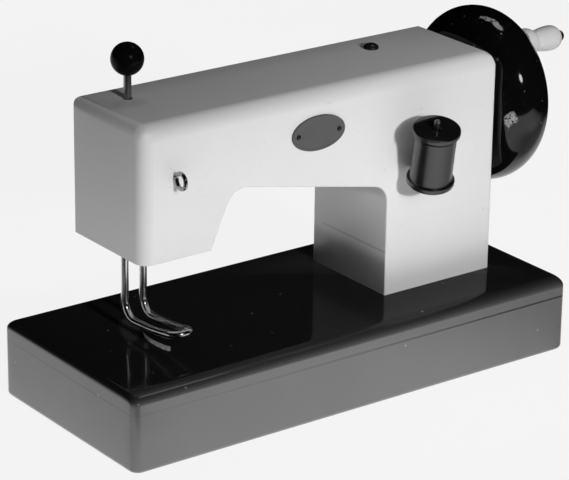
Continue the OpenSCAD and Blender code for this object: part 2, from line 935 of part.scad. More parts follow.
module spool() {
  color(black_lacquer)
    hook_frame()
      rotate([spool_lean, 0, 0])
        translate([0, 0, spool_seat])
          difference() {
            rotate_extrude()
              spool_outline();
            translate([0, 0, -cut])
              cylinder(h = spool_h + 2 * cut, d = spool_bore_d);
          }
}

module spool_hook() {
  color(bright_steel)
    hook_frame() {
      cylinder_along_y(hook_tangent, hook_out + hook_root - hook_tangent, hook_r);
      in_side_plane()
        translate([hook_tangent, hook_bend_r])
          rotate([0, 0, 180 + spool_lean])
            wire_bend(hook_bend_r, hook_r, hook_turn);
      rotate([spool_lean, 0, 0])
        translate([0, 0, hook_tangent])
          cylinder(h = spool_seat + spool_h + hook_tip - hook_tangent, r = hook_r);
    }
}

// Distance from the middle of the thread eye's ring to the body's face
function eye_out() = eye_d / 2 + eye_wire_d / 2 + face_gap;

// Frame of the thread eye: the middle of its ring
module eye_frame() {
  translate([body_x0 + eye_in, body_front - eye_out(), body_top - eye_drop])
    children();
}

module thread_eye() {
  color(bright_steel)
    eye_frame() {
      cylinder_along_y(eye_d / 2, eye_out() - eye_d / 2 + eye_root, eye_wire_d / 2);
      in_side_plane()
        rotate([0, 0, eye_open_angle])
          wire_arc(eye_d / 2, eye_wire_d / 2, 360 - eye_open_angle);
    }
}

module dome_stud() {
  color(black_lacquer)
    translate([body_x1 - stud_in, body_y + stud_back, body_top]) {
      dome(stud_d, stud_h);
      translate([0, 0, -stud_root])
        cylinder(h = stud_root + weld, d = stud_nail_d);
    }
}

// Places of the badge's pins, drawn along Z into the wood
module at_badge_pins() {
  for (side = [-1, 1])
    translate([body_x0 + badge_in + side * badge_pin_pitch / 2, body_front, body_top - badge_drop])
      rotate([-90, 0, 0])
        children();
}

badge_steps = 48;

module badge_plate() {
  color(badge_grey)
    difference() {
      translate([body_x0 + badge_in, body_front, body_top - badge_drop])
        rotate([90, 0, 0])
          linear_extrude(badge_t)
            polygon([
              for (i = [0:badge_steps - 1])
                let (a = 360 * i / badge_steps)
                [badge_w / 2 * cos(a), badge_h / 2 * sin(a)]
            ]);
      at_badge_pins()
        translate([0, 0, -badge_t - cut])
          cylinder(h = badge_t + 2 * cut, d = badge_pin_shank_d + 2 * fit_gap);
    }
}

module badge_pins() {
  color(black_lacquer)
    at_badge_pins() {
      translate([0, 0, -badge_t - weld])
        cylinder(h = weld + badge_t + badge_pin_root, d = badge_pin_shank_d);
      translate([0, 0, -badge_t])
        mirror([0, 0, 1])
          dome(badge_pin_d, badge_pin_head_t);
    }
}

base_block();
base_board();
column_screws();
arm_body();
rear_cover();
cover_screws();
shaft_bush_head();
shaft_bush_wheel();
thrust_washer();
drive_shaft();
hand_wheel();
wheel_washer();
wheel_nut();
handle_grip();
handle_pin();
crank_disc();
crank_pin();
crank_screw();
needle_yoke();
needle_rod();
rod_guide();
ball_knob();
foot_wire();
spool();
spool_hook();
thread_eye();
dome_stud();
badge_plate();
badge_pins();
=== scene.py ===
"""Looks of the toy sewing machine: lacquered base, painted body, turned wheel, bent wires and small fittings."""

import logging
import math
from collections.abc import Callable, Iterable, Sequence
from dataclasses import dataclass
from enum import Enum
from functools import reduce
from itertools import product
from operator import add, mul
from typing import Optional, Union

import bmesh
import bpy
import numpy as np
from mathutils import Matrix, Vector


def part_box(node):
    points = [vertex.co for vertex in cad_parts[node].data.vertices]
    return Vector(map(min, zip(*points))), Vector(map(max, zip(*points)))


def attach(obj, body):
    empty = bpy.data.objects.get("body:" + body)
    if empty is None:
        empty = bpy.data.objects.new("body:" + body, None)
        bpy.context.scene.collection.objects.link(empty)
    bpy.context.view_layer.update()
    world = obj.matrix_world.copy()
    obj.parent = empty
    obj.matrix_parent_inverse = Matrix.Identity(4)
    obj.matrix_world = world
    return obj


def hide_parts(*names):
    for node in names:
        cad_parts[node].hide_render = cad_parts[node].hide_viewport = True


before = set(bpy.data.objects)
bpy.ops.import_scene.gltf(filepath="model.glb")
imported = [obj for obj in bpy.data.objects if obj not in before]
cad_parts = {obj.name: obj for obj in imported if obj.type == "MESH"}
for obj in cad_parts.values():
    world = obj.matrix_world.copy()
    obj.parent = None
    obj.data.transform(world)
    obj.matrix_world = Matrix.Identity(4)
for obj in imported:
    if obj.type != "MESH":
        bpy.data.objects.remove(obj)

MM = 0.001
BASE_TOP = 37.1
BOARD = 8.8
JOINT = BASE_TOP - BOARD
SOFT_EDGE = 40.0
MERGE = 1e-6
CAD_MERGE = 2e-6
FLAT = 0.3
TOUCH = 1e-5
LOG = logging.getLogger("sewing_toy")

Value = Union["Sock", float, int, bool, tuple]
Point = tuple[float, float]
Triple = tuple[float, float, float]


class Rider(Enum):
    """The moving bodies that a piece can ride on."""

    MACHINE = "machine"
    WHEEL = "wheel"
    HANDLE = "handle"
    NEEDLE = "needle"
    REEL = "reel"


class Slot(Enum):
    """The record's material slots."""

    BLACK_LACQUER = "black_lacquer"
    WHITE_PAINT = "white_paint"
    WHITE_GLOSS = "white_gloss"
    BRIGHT_WIRE = "bright_wire"
    STEEL = "steel"
    BRASS = "brass"
    BLACK_METAL = "black_metal"
    BADGE_GREY = "badge_grey"


def operator_pair(operation: str) -> tuple[Callable, Callable]:
    """Makes the two Python operators of a Math operation.

    Args:
        operation: the Math node's operation.

    Returns:
        The plain operator, and the reflected one for a number on the left.
    """

    def plain(left: "Sock", right: Value) -> "Sock":
        """Takes the socket first."""
        return left.nodes.math(operation, left, right)

    def reflected(right: "Sock", left: Value) -> "Sock":
        """Takes the number first."""
        return right.nodes.math(operation, left, right)

    return plain, reflected


class Sock:
    """An output socket whose arithmetic adds Math nodes to its tree."""

    __add__, __radd__ = operator_pair("ADD")
    __sub__, __rsub__ = operator_pair("SUBTRACT")
    __mul__, __rmul__ = operator_pair("MULTIPLY")
    __truediv__, __rtruediv__ = operator_pair("DIVIDE")

    def __init__(self, nodes: "Nodes", socket: bpy.types.NodeSocket) -> None:
        """Keeps the socket and the tree that it belongs to."""
        self.nodes = nodes
        self.socket = socket

    def math(self, operation: str, *others: Value) -> "Sock":
        """Adds a Math node that takes this socket first."""
        return self.nodes.math(operation, self, *others)

    def held(self) -> "Sock":
        """Keeps the value between 0 and 1."""
        return self.math("MAXIMUM", 0.0).math("MINIMUM", 1.0)

    def mixed(self, none: float, full: float) -> "Sock":
        """Runs from one number to another as this goes from 0 to 1."""
        return self * (full - none) + none

    def ramp(self, low: float, high: float) -> "Sock":
        """Rises smoothly from 0 at low to 1 at high; high may be the lower one."""
        values = {"Value": self, "From Min": low, "From Max": high}
        return self.nodes.add("ShaderNodeMapRange", {"interpolation_type": "SMOOTHSTEP"}, values)["Result"]


class Made:
    """A node that was added, whose outputs are read by name, identifier or number."""

    def __init__(self, nodes: "Nodes", node: bpy.types.Node) -> None:
        """Keeps the node and its tree."""
        self.nodes = nodes
        self.node = node

    def __getitem__(self, key: Union[int, str]) -> Sock:
        """Returns one output."""
        return Sock(self.nodes, pick(self.node.outputs, key))


def pick(sockets: Iterable[bpy.types.NodeSocket], key: Union[int, str]) -> bpy.types.NodeSocket:
    """Finds a socket.

    Args:
        sockets: a node's inputs or outputs.
        key: its number, identifier or name.

    Returns:
        The socket.
    """
    listed = list(sockets)
    if isinstance(key, int):
        return listed[key]
    for socket in listed:
        if socket.identifier == key:
            return socket
    return next(socket for socket in listed if socket.name == key)


class Nodes:
    """A node tree that nodes are added to."""

    def __init__(self, tree: bpy.types.NodeTree) -> None:
        """Keeps the tree."""
        self.tree = tree

    def add(self, kind: str, settings: dict[str, object], values: dict[Union[int, str], Value]) -> Made:
        """Adds a node.

        Args:
            kind: the node's type.
            settings: its properties, set before the sockets.
            values: numbers or links for its inputs.

        Returns:
            The node's outputs.
        """
        node = self.tree.nodes.new(kind)
        for name, setting in settings.items():
            setattr(node, name, setting)
        for key, value in values.items():
            socket = pick(node.inputs, key)
            if isinstance(value, Sock):
                self.tree.links.new(value.socket, socket)
            elif socket.type == "RGBA" and len(value) == 3:
                socket.default_value = (*value, 1.0)
            else:
                socket.default_value = value
        return Made(self, node)

    def math(self, operation: str, *values: Value) -> Sock:
        """Adds a Math node."""
        return self.add("ShaderNodeMath", {"operation": operation}, dict(enumerate(values)))[0]

    def place(self) -> Sock:
        """Object coordinates, in metres."""
        return self.add("ShaderNodeTexCoord", {}, {})["Object"]

    def parts(self, vector: Sock) -> tuple[Sock, Sock, Sock]:
        """The three numbers of a vector."""
        split = self.add("ShaderNodeSeparateXYZ", {}, {"Vector": vector})
        return split["X"], split["Y"], split["Z"]

    def noise(self, vector: Sock, grain: "Grain") -> Sock:
        """Adds noise from 0 to 1, about 0.5 where it has no ramp.

        Args:
            vector: object coordinates.
            grain: the noise's sizes.

        Returns:
            The noise.
        """
        if grain.stretch:
            vector = self.add("ShaderNodeMapping", {}, {"Vector": vector, "Scale": grain.stretch})["Vector"]
        values = {"Vector": vector, "Scale": grain.scale, "Detail": grain.detail}
        noise = self.add("ShaderNodeTexNoise", {}, values)["Fac"]
        return noise.ramp(*grain.ramp) if grain.ramp else noise

    def attribute(self, name: str) -> Sock:
        """A number stored on the mesh, 0 where there is none."""
        return self.add("ShaderNodeAttribute", {"attribute_name": name}, {})["Fac"]

    def mix(self, share: Value, first: Value, second: Value) -> Sock:
        """A colour between two colours."""
        values = {"Factor_Float": share, "A_Color": first, "B_Color": second}
        return self.add("ShaderNodeMix", {"data_type": "RGBA"}, values)["Result_Color"]

    def vector(self, operation: str, *values: Value) -> Made:
        """Adds a Vector Math node."""
        return self.add("ShaderNodeVectorMath", {"operation": operation}, dict(enumerate(values)))

    def away(self, vector: Sock, point: Triple) -> Sock:
        """Distance from a point in mm, in metres."""
        return self.vector("DISTANCE", vector, metres(point))["Value"]

    def painted_reflection_mask(self, vector: Sock, painted_reflection: "PaintedReflection") -> Sock:
        """Marks a long spot of painted reflection.

        Args:
            vector: object coordinates.
            painted_reflection: the spot.

        Returns:
            1 inside the spot, 0 outside it.
        """
        offset = self.vector("SUBTRACT", vector, metres(painted_reflection.middle))["Vector"]
        along = self.vector("DOT_PRODUCT", offset, painted_reflection.way)["Value"]
        far = self.vector("LENGTH", offset)["Value"]
        across = (far * far - along * along) / (painted_reflection.half_width * MM) ** 2
        return (across + along * along / (painted_reflection.half_length * MM) ** 2).ramp(*PAINTED_REFLECTION_EDGE)

    def bump(self, height: Sock, distance: float) -> Sock:
        """A normal from a height, with the height of 1 in metres."""
        return self.add("ShaderNodeBump", {}, {"Height": height, "Distance": distance, "Strength": 1.0})["Normal"]


# How soft a painted reflection spot's edge is, in its squared reach.
PAINTED_REFLECTION_EDGE = (1.4, 0.4)


@dataclass(frozen=True)
class Grain:
    """A noise: its scale per metre, its detail, its ramp and its stretch along each axis."""

    scale: float
    detail: float
    ramp: Optional[Point] = None
    stretch: Optional[Triple] = None


@dataclass(frozen=True)
class PaintedReflection:
    """A spot of painted reflection: its middle, direction, half length and half width in mm."""

    middle: Triple
    way: Triple
    half_length: float
    half_width: float


def grey(level: float) -> Triple:
    """A neutral colour of that linear level."""
    return (level, level, level)


def metres(point: Triple) -> Triple:
    """A point in mm, in metres."""
    return tuple(v * MM for v in point)


def cleared(owner: Union[bpy.types.Material, bpy.types.World]) -> Nodes:
    """Turns on the nodes of a material or the world.

    Args:
        owner: the material or the world.

    Returns:
        Its node tree, empty.
    """
    owner.use_nodes = True
    owner.node_tree.nodes.clear()
    return Nodes(owner.node_tree)


def principled(colour: Value, rough: Value, normal: Sock, index: float = 1.5) -> dict[str, Value]:
    """The inputs that every finish gives its shader."""
    return {"Base Color": colour, "Roughness": rough, "IOR": index, "Normal": normal}


@dataclass(frozen=True)
class Finish:
    """A finish: a name, the record's slot, and what its shader is given."""

    name: str
    slot: Slot

    def shade(self, nodes: Nodes) -> dict[str, Value]:
        """The shader's inputs; each finish has its own."""
        raise NotImplementedError

    def material(self) -> bpy.types.Material:
        """Makes the material on its first use.

        Returns:
            The material.
        """
        found = bpy.data.materials.get(self.name)
        if found is not None:
            return found
        made = bpy.data.materials.new(self.name)
        nodes = cleared(made)
        shader = nodes.add("ShaderNodeBsdfPrincipled", {}, self.shade(nodes))
        nodes.add("ShaderNodeOutputMaterial", {}, {"Surface": shader["BSDF"]})
        return made


@dataclass(frozen=True)
class Lacquer(Finish):
    """Black lacquer on wood: deep black; rougher and painted grey as a floor reflection where the mesh's side
    attribute is high.
    """

    black: float = 0.012
    # The sides' painted grey, standing in for the bright floor's reflection.
    side_reflection_grey: float = 0.09
    gloss: float = 0.06
    side_gloss: float = 0.22
    sheen: float = 0.07
    coat_index: float = 1.7
    coat_gloss: float = 0.12
    wave: float = 0.00006
    scratched: float = 0.36
    gap: float = 0.004
    # Colour of the painted reflections under the foot.
    bare: float = 0.60
    cloud: Grain = Grain(22.0, 3.0)
    swell: Grain = Grain(70.0, 2.0)
    nib: Grain = Grain(1400.0, 1.0, (0.70, 0.80))
    dust: Grain = Grain(330.0, 0.0, (0.845, 0.87))
    stroke: Grain = Grain(1.0, 3.0, stretch=(420.0, 420.0, 11.0))
    stroke_edge: Point = (0.69, 0.75)
    patch: Grain = Grain(34.0, 1.0, (0.54, 0.66))
    grit: Grain = Grain(1900.0, 2.0, (0.25, 0.62))
    seam_half: Point = (0.0007, 0.0002)
    seam_open: Point = (-0.10, 0.13)
    # The faint painted reflection by the foot's legs.
    rub: PaintedReflection = PaintedReflection((-83.5, 12.0, BASE_TOP), (0.45, 0.893, 0.0), 14.0, 4.5)
    top: Point = (0.0360, 0.0368)

    def shade(self, nodes: Nodes) -> dict[str, Value]:
        """Black with slow waves, nibs, dust, painted floor reflection and scratches on the sides, painted
        reflection under the foot.

        Args:
            nodes: the material's tree.

        Returns:
            The shader's inputs.
        """
        at = nodes.place()
        side = nodes.attribute("side")
        cloud, stroke = nodes.noise(at, self.cloud), nodes.noise(at, self.stroke)
        scratch = stroke.ramp(*self.stroke_edge) * nodes.noise(at, self.patch) * side
        marks = (scratch * 0.45 + nodes.noise(at, self.dust) * 0.5).held()
        # Painted reflections under the foot.
        painted_foot_reflection = self.painted_foot_reflection(nodes, at)
        # The sides' painted grey stands in for the bright floor's reflection.
        mottled_side_reflection = nodes.mix(cloud, grey(self.side_reflection_grey * 0.86), grey(self.side_reflection_grey * 1.14))
        colour = nodes.mix(side, grey(self.black), mottled_side_reflection)
        colour = nodes.mix(marks, colour, grey(self.scratched))
        colour = nodes.mix(self.seam(nodes, at) * side, colour, grey(self.gap))
        colour = nodes.mix(painted_foot_reflection, colour, grey(self.bare))
        rough = side.mixed(self.gloss, self.side_gloss) + cloud * 0.03 + scratch * 0.15 + painted_foot_reflection * 0.4
        height = nodes.noise(at, self.swell) + nodes.noise(at, self.nib) * 0.12 + stroke * side * 0.25
        return principled(colour, rough, nodes.bump(height, self.wave)) | {
            "Specular IOR Level": self.sheen,
            "Coat Weight": side,
            "Coat IOR": self.coat_index,
            "Coat Roughness": self.coat_gloss,
        }

    def seam(self, nodes: Nodes, at: Sock) -> Sock:
        """The joint between block and board, which has opened towards the wheel's end."""
        x, _, z = nodes.parts(at)
        return (z - JOINT * MM).math("ABSOLUTE").ramp(*self.seam_half) * x.ramp(*self.seam_open) * 0.95

    def painted_foot_reflection(self, nodes: Nodes, at: Sock) -> Sock:
        """Marks painted reflections under the foot on the board's top: a crescent between two circles, and a faint
        patch.

        Args:
            nodes: the material's tree.
            at: object coordinates.

        Returns:
            How strongly the painted reflection shows.
        """
        x, y, z = nodes.parts(at)
        grit = nodes.noise(at, self.grit)
        outside = nodes.away(at, (-52.8, -9.6, BASE_TOP)).ramp(0.0315, 0.0311)
        inside = nodes.away(at, (-45.0, -3.5, BASE_TOP)).ramp(0.0361, 0.0365)
        ends = y.ramp(-0.0195, -0.0189) * (x * 0.826 - y * 0.562).ramp(-0.0567, -0.0571)
        # A faint painted reflection by the legs.
        dull = nodes.painted_reflection_mask(at, self.rub)
        return (outside * inside * ends * grit * 0.95 + dull * grit * 0.06) * z.ramp(*self.top)


@dataclass(frozen=True)
class TurnedLacquer(Finish):
    """Black gloss lacquer on turned wood, dull in places, with spots of painted reflection."""

    black: float = 0.003
    index: float = 1.5
    gloss: float = 0.06
    painted_reflections: tuple[PaintedReflection, ...] = ()
    end_gloss: float = 0.07
    wave: float = 0.000012
    dull: float = 0.012
    # Colour of the painted reflection spots.
    bare: float = 0.34
    cloud: Grain = Grain(30.0, 3.0)
    swell: Grain = Grain(80.0, 2.0)
    rub: Grain = Grain(210.0, 4.0, (0.60, 0.74))
    nib: Grain = Grain(1300.0, 1.0, (0.70, 0.80))
    grit: Grain = Grain(900.0, 3.0, (0.37, 0.54))
    ragged: Grain = Grain(360.0, 3.0)

    def shade(self, nodes: Nodes) -> dict[str, Value]:
        """Black with slow waves, small nibs, dull rubs and painted reflection spots; flat ends have a gloss of
        their own.

        Args:
            nodes: the material's tree.

        Returns:
            The shader's inputs.
        """
        at = nodes.place()
        cloud, rub = nodes.noise(at, self.cloud), nodes.noise(at, self.rub)
        height = nodes.noise(at, self.swell) + nodes.noise(at, self.nib) * 0.3
        colour = nodes.mix(rub * 0.35, grey(self.black), grey(self.black + self.dull))
        rough = nodes.attribute("end").mixed(self.gloss, self.end_gloss) + cloud * 0.03 + rub * 0.05
        grit, ragged = nodes.noise(at, self.grit), nodes.noise(at, self.ragged)
        # Spots of painted reflection, broken up by grit.
        for painted_reflection in self.painted_reflections:
            worn = (nodes.painted_reflection_mask(at, painted_reflection) + ragged * 2.4 - 1.65).ramp(0.0, 0.35) * grit
            colour = nodes.mix(worn * 0.9, colour, grey(self.bare))
            rough = rough + worn * 0.4
        return principled(colour, rough, nodes.bump(height, self.wave), self.index)


@dataclass(frozen=True)
class Paint(Finish):
    """Off-white brushed paint on wood, with the plank's grain just showing."""

    level: float = 0.76
    gloss: float = 0.26
    index: float = 1.48
    wave: float = 0.00005
    dark: float = 0.3
    cloud: Grain = Grain(26.0, 4.0)
    grain: Grain = Grain(1.0, 4.0, stretch=(7.0, 260.0, 260.0))
    grain_edge: Point = (0.55, 0.8)
    peel: Grain = Grain(620.0, 2.0)
    speck: Grain = Grain(700.0, 0.0, (0.85, 0.88))
    # Height of the painted shadow line under the column's saw step, in mm.
    step: float = 58.7
    step_half: Point = (0.0009, 0.0003)
    step_end: Point = (0.029, 0.025)
    # Painted shade low on the column's inner face, between these heights in metres.
    inner_shade: Point = (0.0590, 0.0505)
    # Painted shade just above the base, on every face.
    low_shade: Point = (0.0570, 0.0375)
    # Middle and half size in mm, and height band in metres, of the knob's painted reflection on the top.
    knob_mirror: Point = (-83.0, 11.5)
    knob_mirror_half: Point = (9.5, 6.5)
    knob_mirror_top: Point = (0.1450, 0.1458)

    def shade(self, nodes: Nodes) -> dict[str, Value]:
        """Pale paint: faint mottling, grain along the arm, nibs, a few dark specks, painted shade, the knob's
        painted reflection.

        Args:
            nodes: the material's tree.

        Returns:
            The shader's inputs.
        """
        at = nodes.place()
        cloud, grain, speck = (nodes.noise(at, noise) for noise in (self.cloud, self.grain, self.speck))
        colour = nodes.mix(cloud, grey(self.level * 0.965), grey(self.level * 1.02))
        colour = nodes.mix(grain.ramp(*self.grain_edge) * 0.25, colour, grey(self.level * 0.93))
        colour = nodes.mix(speck * 0.3, colour, grey(self.dark))
        # Painted shade and the knob's painted reflection darken the paint.
        colour = nodes.mix(self.painted_shade_and_reflection(nodes, at, cloud), colour, grey(self.level * 0.25))
        rough = self.gloss + cloud * 0.08 + grain * 0.05
        height = grain * 0.5 + nodes.noise(at, self.peel) * 0.22 + speck * 0.4
        return principled(colour, rough, nodes.bump(height, self.wave), self.index)

    def painted_shade_and_reflection(self, nodes: Nodes, at: Sock, cloud: Sock) -> Sock:
        """Marks painted shade low down, on the inner face and under its saw step, and the knob's painted
        reflection.

        Args:
            nodes: the material's tree.
            at: object coordinates.
            cloud: slow noise that breaks the painted shade up.

        Returns:
            How much painted shade and reflection darken the paint.
        """
        x, y, z = nodes.parts(at)
        # A painted shadow line under the saw step on the inner face.
        step = (z - self.step * MM).math("ABSOLUTE").ramp(*self.step_half) * y.ramp(*self.step_end) * 0.30
        # Painted shade low on the inner face.
        inner = nodes.attribute("inner") * (z.ramp(*self.inner_shade) * (0.5 + cloud * 0.4) + step)
        # Painted shade just above the base.
        foot = z.ramp(*self.low_shade) * 0.22
        # The knob's painted reflection: a dark soft spot on the top by the rod's hole.
        dx, dy = ((axis - m * MM) / (half * MM) for axis, m, half in zip((x, y), self.knob_mirror, self.knob_mirror_half))
        knob_mirror_shade = (dx * dx + dy * dy).ramp(1.4, 0.0) * z.ramp(*self.knob_mirror_top) * 0.22
        return (inner + foot + knob_mirror_shade).held()


@dataclass(frozen=True)
class TurnedGloss(Finish):
    """White gloss paint on a turned piece."""

    level: float = 0.70
    gloss: float = 0.14
    wave: float = 0.00001
    ring: Grain = Grain(1.0, 2.0, stretch=(900.0, 8.0, 8.0))
    grime: Grain = Grain(90.0, 4.0)
    grime_edge: Point = (0.56, 0.78)

    def shade(self, nodes: Nodes) -> dict[str, Value]:
        """White with faint rings from the lathe and a little handling grime.

        Args:
            nodes: the material's tree.

        Returns:
            The shader's inputs.
        """
        at = nodes.place()
        grime = nodes.noise(at, self.grime)
        colour = nodes.mix(grime.ramp(*self.grime_edge) * 0.3, grey(self.level), grey(self.level * 0.82))
        return principled(colour, self.gloss + grime * 0.08, nodes.bump(nodes.noise(at, self.ring), self.wave))


@dataclass(frozen=True)
class Metal(Finish):
    """Bare or plated metal with drawn lines, clouding and small scratches."""

    level: Triple
    dull: Triple
    gloss: float
    cut: float = 0.000012
    line: Grain = Grain(1.0, 2.0, stretch=(1500.0, 1500.0, 40.0))
    line_edge: Point = (0.6, 0.8)
    cloud: Grain = Grain(160.0, 4.0)
    cloud_edge: Point = (0.46, 0.74)

    def shade(self, nodes: Nodes) -> dict[str, Value]:
        """Metal that is duller in patches and along its drawing lines.

        Args:
            nodes: the material's tree.

        Returns:
            The shader's inputs.
        """
        at = nodes.place()
        line, cloud = nodes.noise(at, self.line), nodes.noise(at, self.cloud)
        share = (cloud.ramp(*self.cloud_edge) * 0.6 + line.ramp(*self.line_edge) * 0.4).held()
        rough = self.gloss + cloud * 0.10 + line * 0.06
        bumps = nodes.bump(line + cloud * 0.5, self.cut)
        return principled(nodes.mix(share, self.level, self.dull), rough, bumps) | {"Metallic": 1.0}


@dataclass(frozen=True)
class DarkMetal(Finish):
    """Black painted nail heads, worn at their crowns."""

    black: float = 0.010
    bare: float = 0.10
    gloss: float = 0.16
    wave: float = 0.00003
    rub: Grain = Grain(900.0, 3.0, (0.62, 0.74))
    cloud: Grain = Grain(240.0, 2.0)

    def shade(self, nodes: Nodes) -> dict[str, Value]:
        """Black paint with small bare rubs.

        Args:
            nodes: the material's tree.

        Returns:
            The shader's inputs.
        """
        at = nodes.place()
        cloud = nodes.noise(at, self.cloud)
        colour = nodes.mix(nodes.noise(at, self.rub) * 0.5, grey(self.black), grey(self.bare))
        return principled(colour, self.gloss + cloud * 0.14, nodes.bump(cloud, self.wave))


@dataclass(frozen=True)
class PlateGrey(Finish):
    """Satin grey badge, bare of any print."""

    level: float = 0.088
    gloss: float = 0.38
    wave: float = 0.00002
    grain: Grain = Grain(2600.0, 2.0)
    grain_edge: Point = (0.55, 0.75)
    cloud: Grain = Grain(120.0, 3.0)

    def shade(self, nodes: Nodes) -> dict[str, Value]:
        """Grey enamel with a fine grain and faint rubs.

        Args:
            nodes: the material's tree.

        Returns:
            The shader's inputs.
        """
        at = nodes.place()
        grain, cloud = nodes.noise(at, self.grain), nodes.noise(at, self.cloud)
        colour = nodes.mix(cloud, grey(self.level * 0.82), grey(self.level * 1.16))
        colour = nodes.mix(grain.ramp(*self.grain_edge) * 0.3, colour, grey(self.level * 1.5))
        return principled(colour, self.gloss + cloud * 0.12, nodes.bump(grain + cloud * 0.5, self.wave))


LACQUER = Lacquer("base_lacquer", Slot.BLACK_LACQUER)
# The wheel's spots are painted reflections: the floor's low on the rim and the overhead lamp's near the top.
WHEEL_LACQUER = TurnedLacquer("wheel_lacquer", Slot.BLACK_LACQUER, painted_reflections=(
    PaintedReflection((109.2, -26.2, 112.6), (0.30, -0.30, 0.90), 4.8, 3.3),
    PaintedReflection((115.9, -0.6, 154.4), (0.29, -0.94, -0.19), 5.6, 1.5),
))
SPOOL_LACQUER = TurnedLacquer("spool_lacquer", Slot.BLACK_LACQUER, 0.008, 1.8, 0.27)
KNOB_LACQUER = TurnedLacquer("knob_lacquer", Slot.BLACK_LACQUER, 0.003, 1.16, 0.22)
PAINT = Paint("body_paint", Slot.WHITE_PAINT)
GRIP_GLOSS = TurnedGloss("grip_gloss", Slot.WHITE_GLOSS)
BRIGHT = Metal("bright_plating", Slot.BRIGHT_WIRE, grey(0.82), grey(0.52), 0.13, cut=0.000004)
HOOK_STEEL = Metal("hook_steel", Slot.BRIGHT_WIRE, grey(0.34), grey(0.18), 0.24)
EYE_STEEL = Metal("eye_steel", Slot.BRIGHT_WIRE, grey(0.36), grey(0.18), 0.07)
ROD_STEEL = Metal("rod_steel", Slot.BRIGHT_WIRE, grey(0.34), grey(0.16), 0.30)
STEEL = Metal("plain_steel", Slot.STEEL, grey(0.50), grey(0.28), 0.30)
BRASS = Metal("bush_brass", Slot.BRASS, (0.62, 0.42, 0.17), (0.40, 0.26, 0.10), 0.26)
NAIL = DarkMetal("nail_black", Slot.BLACK_METAL)
BADGE = PlateGrey("badge_enamel", Slot.BADGE_GREY)


def link(name: str, data: bpy.types.ID) -> bpy.types.Object:
    """Puts a mesh, a lamp or a camera in the scene.

    Args:
        name: the object's name.
        data: what it holds.

    Returns:
        The object, at the origin.
    """
    made = bpy.data.objects.new(name, data)
    bpy.context.scene.collection.objects.link(made)
    return made


def from_lists(name: str, points: Sequence, faces: Sequence, edges: Sequence = ()) -> bpy.types.Object:
    """Makes an object from points in metres.

    Args:
        name: the piece's name.
        points: its points.
        faces: lists of point numbers.
        edges: pairs of point numbers, for a path.

    Returns:
        The object.
    """
    mesh = bpy.data.meshes.new(name)
    mesh.from_pydata([tuple(p) for p in points], list(edges), [tuple(f) for f in faces])
    mesh.update()
    return link(name, mesh)


def tidy(piece: bpy.types.Object, sharp: float = 32.0) -> bpy.types.Object:
    """Merges doubles, turns the faces outwards and smooths all but the sharp edges.

    Args:
        piece: a closed mesh.
        sharp: edges of more than this angle, in degrees, stay sharp.

    Returns:
        The same object.
    """
    work = bmesh.new()
    work.from_mesh(piece.data)
    bmesh.ops.remove_doubles(work, verts=work.verts, dist=MERGE)
    bmesh.ops.recalc_face_normals(work, faces=work.faces)
    work.to_mesh(piece.data)
    work.free()
    piece.data.polygons.foreach_set("use_smooth", [True] * len(piece.data.polygons))
    piece.data.set_sharp_from_angle(angle=math.radians(sharp))
    piece.data.update()
    return piece


def settle(piece: bpy.types.Object) -> bpy.types.Object:
    """Turns a piece with live modifiers into a plain mesh.

    Args:
        piece: the piece.

    Returns:
        The same object.
    """
    bpy.context.view_layer.update()
    seen = piece.evaluated_get(bpy.context.evaluated_depsgraph_get())
    mesh = bpy.data.meshes.new_from_object(seen)
    old = piece.data
    piece.modifiers.clear()
    piece.data = mesh
    bpy.data.meshes.remove(old)
    mesh.name = piece.name
    return piece


def discard(piece: bpy.types.Object) -> None:
    """Removes a helper object with its mesh.

    Args:
        piece: the object.
    """
    mesh = piece.data
    bpy.data.objects.remove(piece)
    bpy.data.meshes.remove(mesh)


def carve(piece: bpy.types.Object, tool: bpy.types.Object, operation: str = "DIFFERENCE") -> None:
    """Cuts a piece with a closed mesh, and removes that mesh.

    Args:
        piece: the piece.
        tool: the mesh that cuts it.
        operation: the boolean's operation.
    """
    cut = piece.modifiers.new("cut", "BOOLEAN")
    cut.operation = operation
    cut.solver = "EXACT"
    cut.object = tool
    settle(piece)
    discard(tool)


def mount(piece: bpy.types.Object, rider: Rider, finish: Finish, *nodes: str) -> None:
    """Paints a piece, puts it on its body in place of CAD nodes, and reports it.

    Args:
        piece: the piece, at the origin with its place in its mesh.
        rider: the body that it moves with.
        finish: its finish.
        nodes: the CAD nodes that it stands for.
    """
    piece.data.materials.clear()
    piece.data.materials.append(finish.material())
    piece.data.polygons.foreach_set("material_index", [0] * len(piece.data.polygons))
    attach(piece, rider.value)
    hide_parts(*nodes)
    LOG.info("%s on %s, %d faces, for %s", piece.name, rider.value, len(piece.data.polygons), ", ".join(nodes))


def coat(finish: Finish, *nodes: str) -> None:
    """Gives CAD nodes that keep their shape a finish.

    Args:
        finish: the finish.
        nodes: the CAD nodes.
    """
    for name in nodes:
        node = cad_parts[name]
        if node.data.materials:
            for index in range(len(node.data.materials)):
                node.data.materials[index] = finish.material()
        else:
            node.data.materials.append(finish.material())
        LOG.info("%s keeps its CAD shape, %s", name, finish.name)


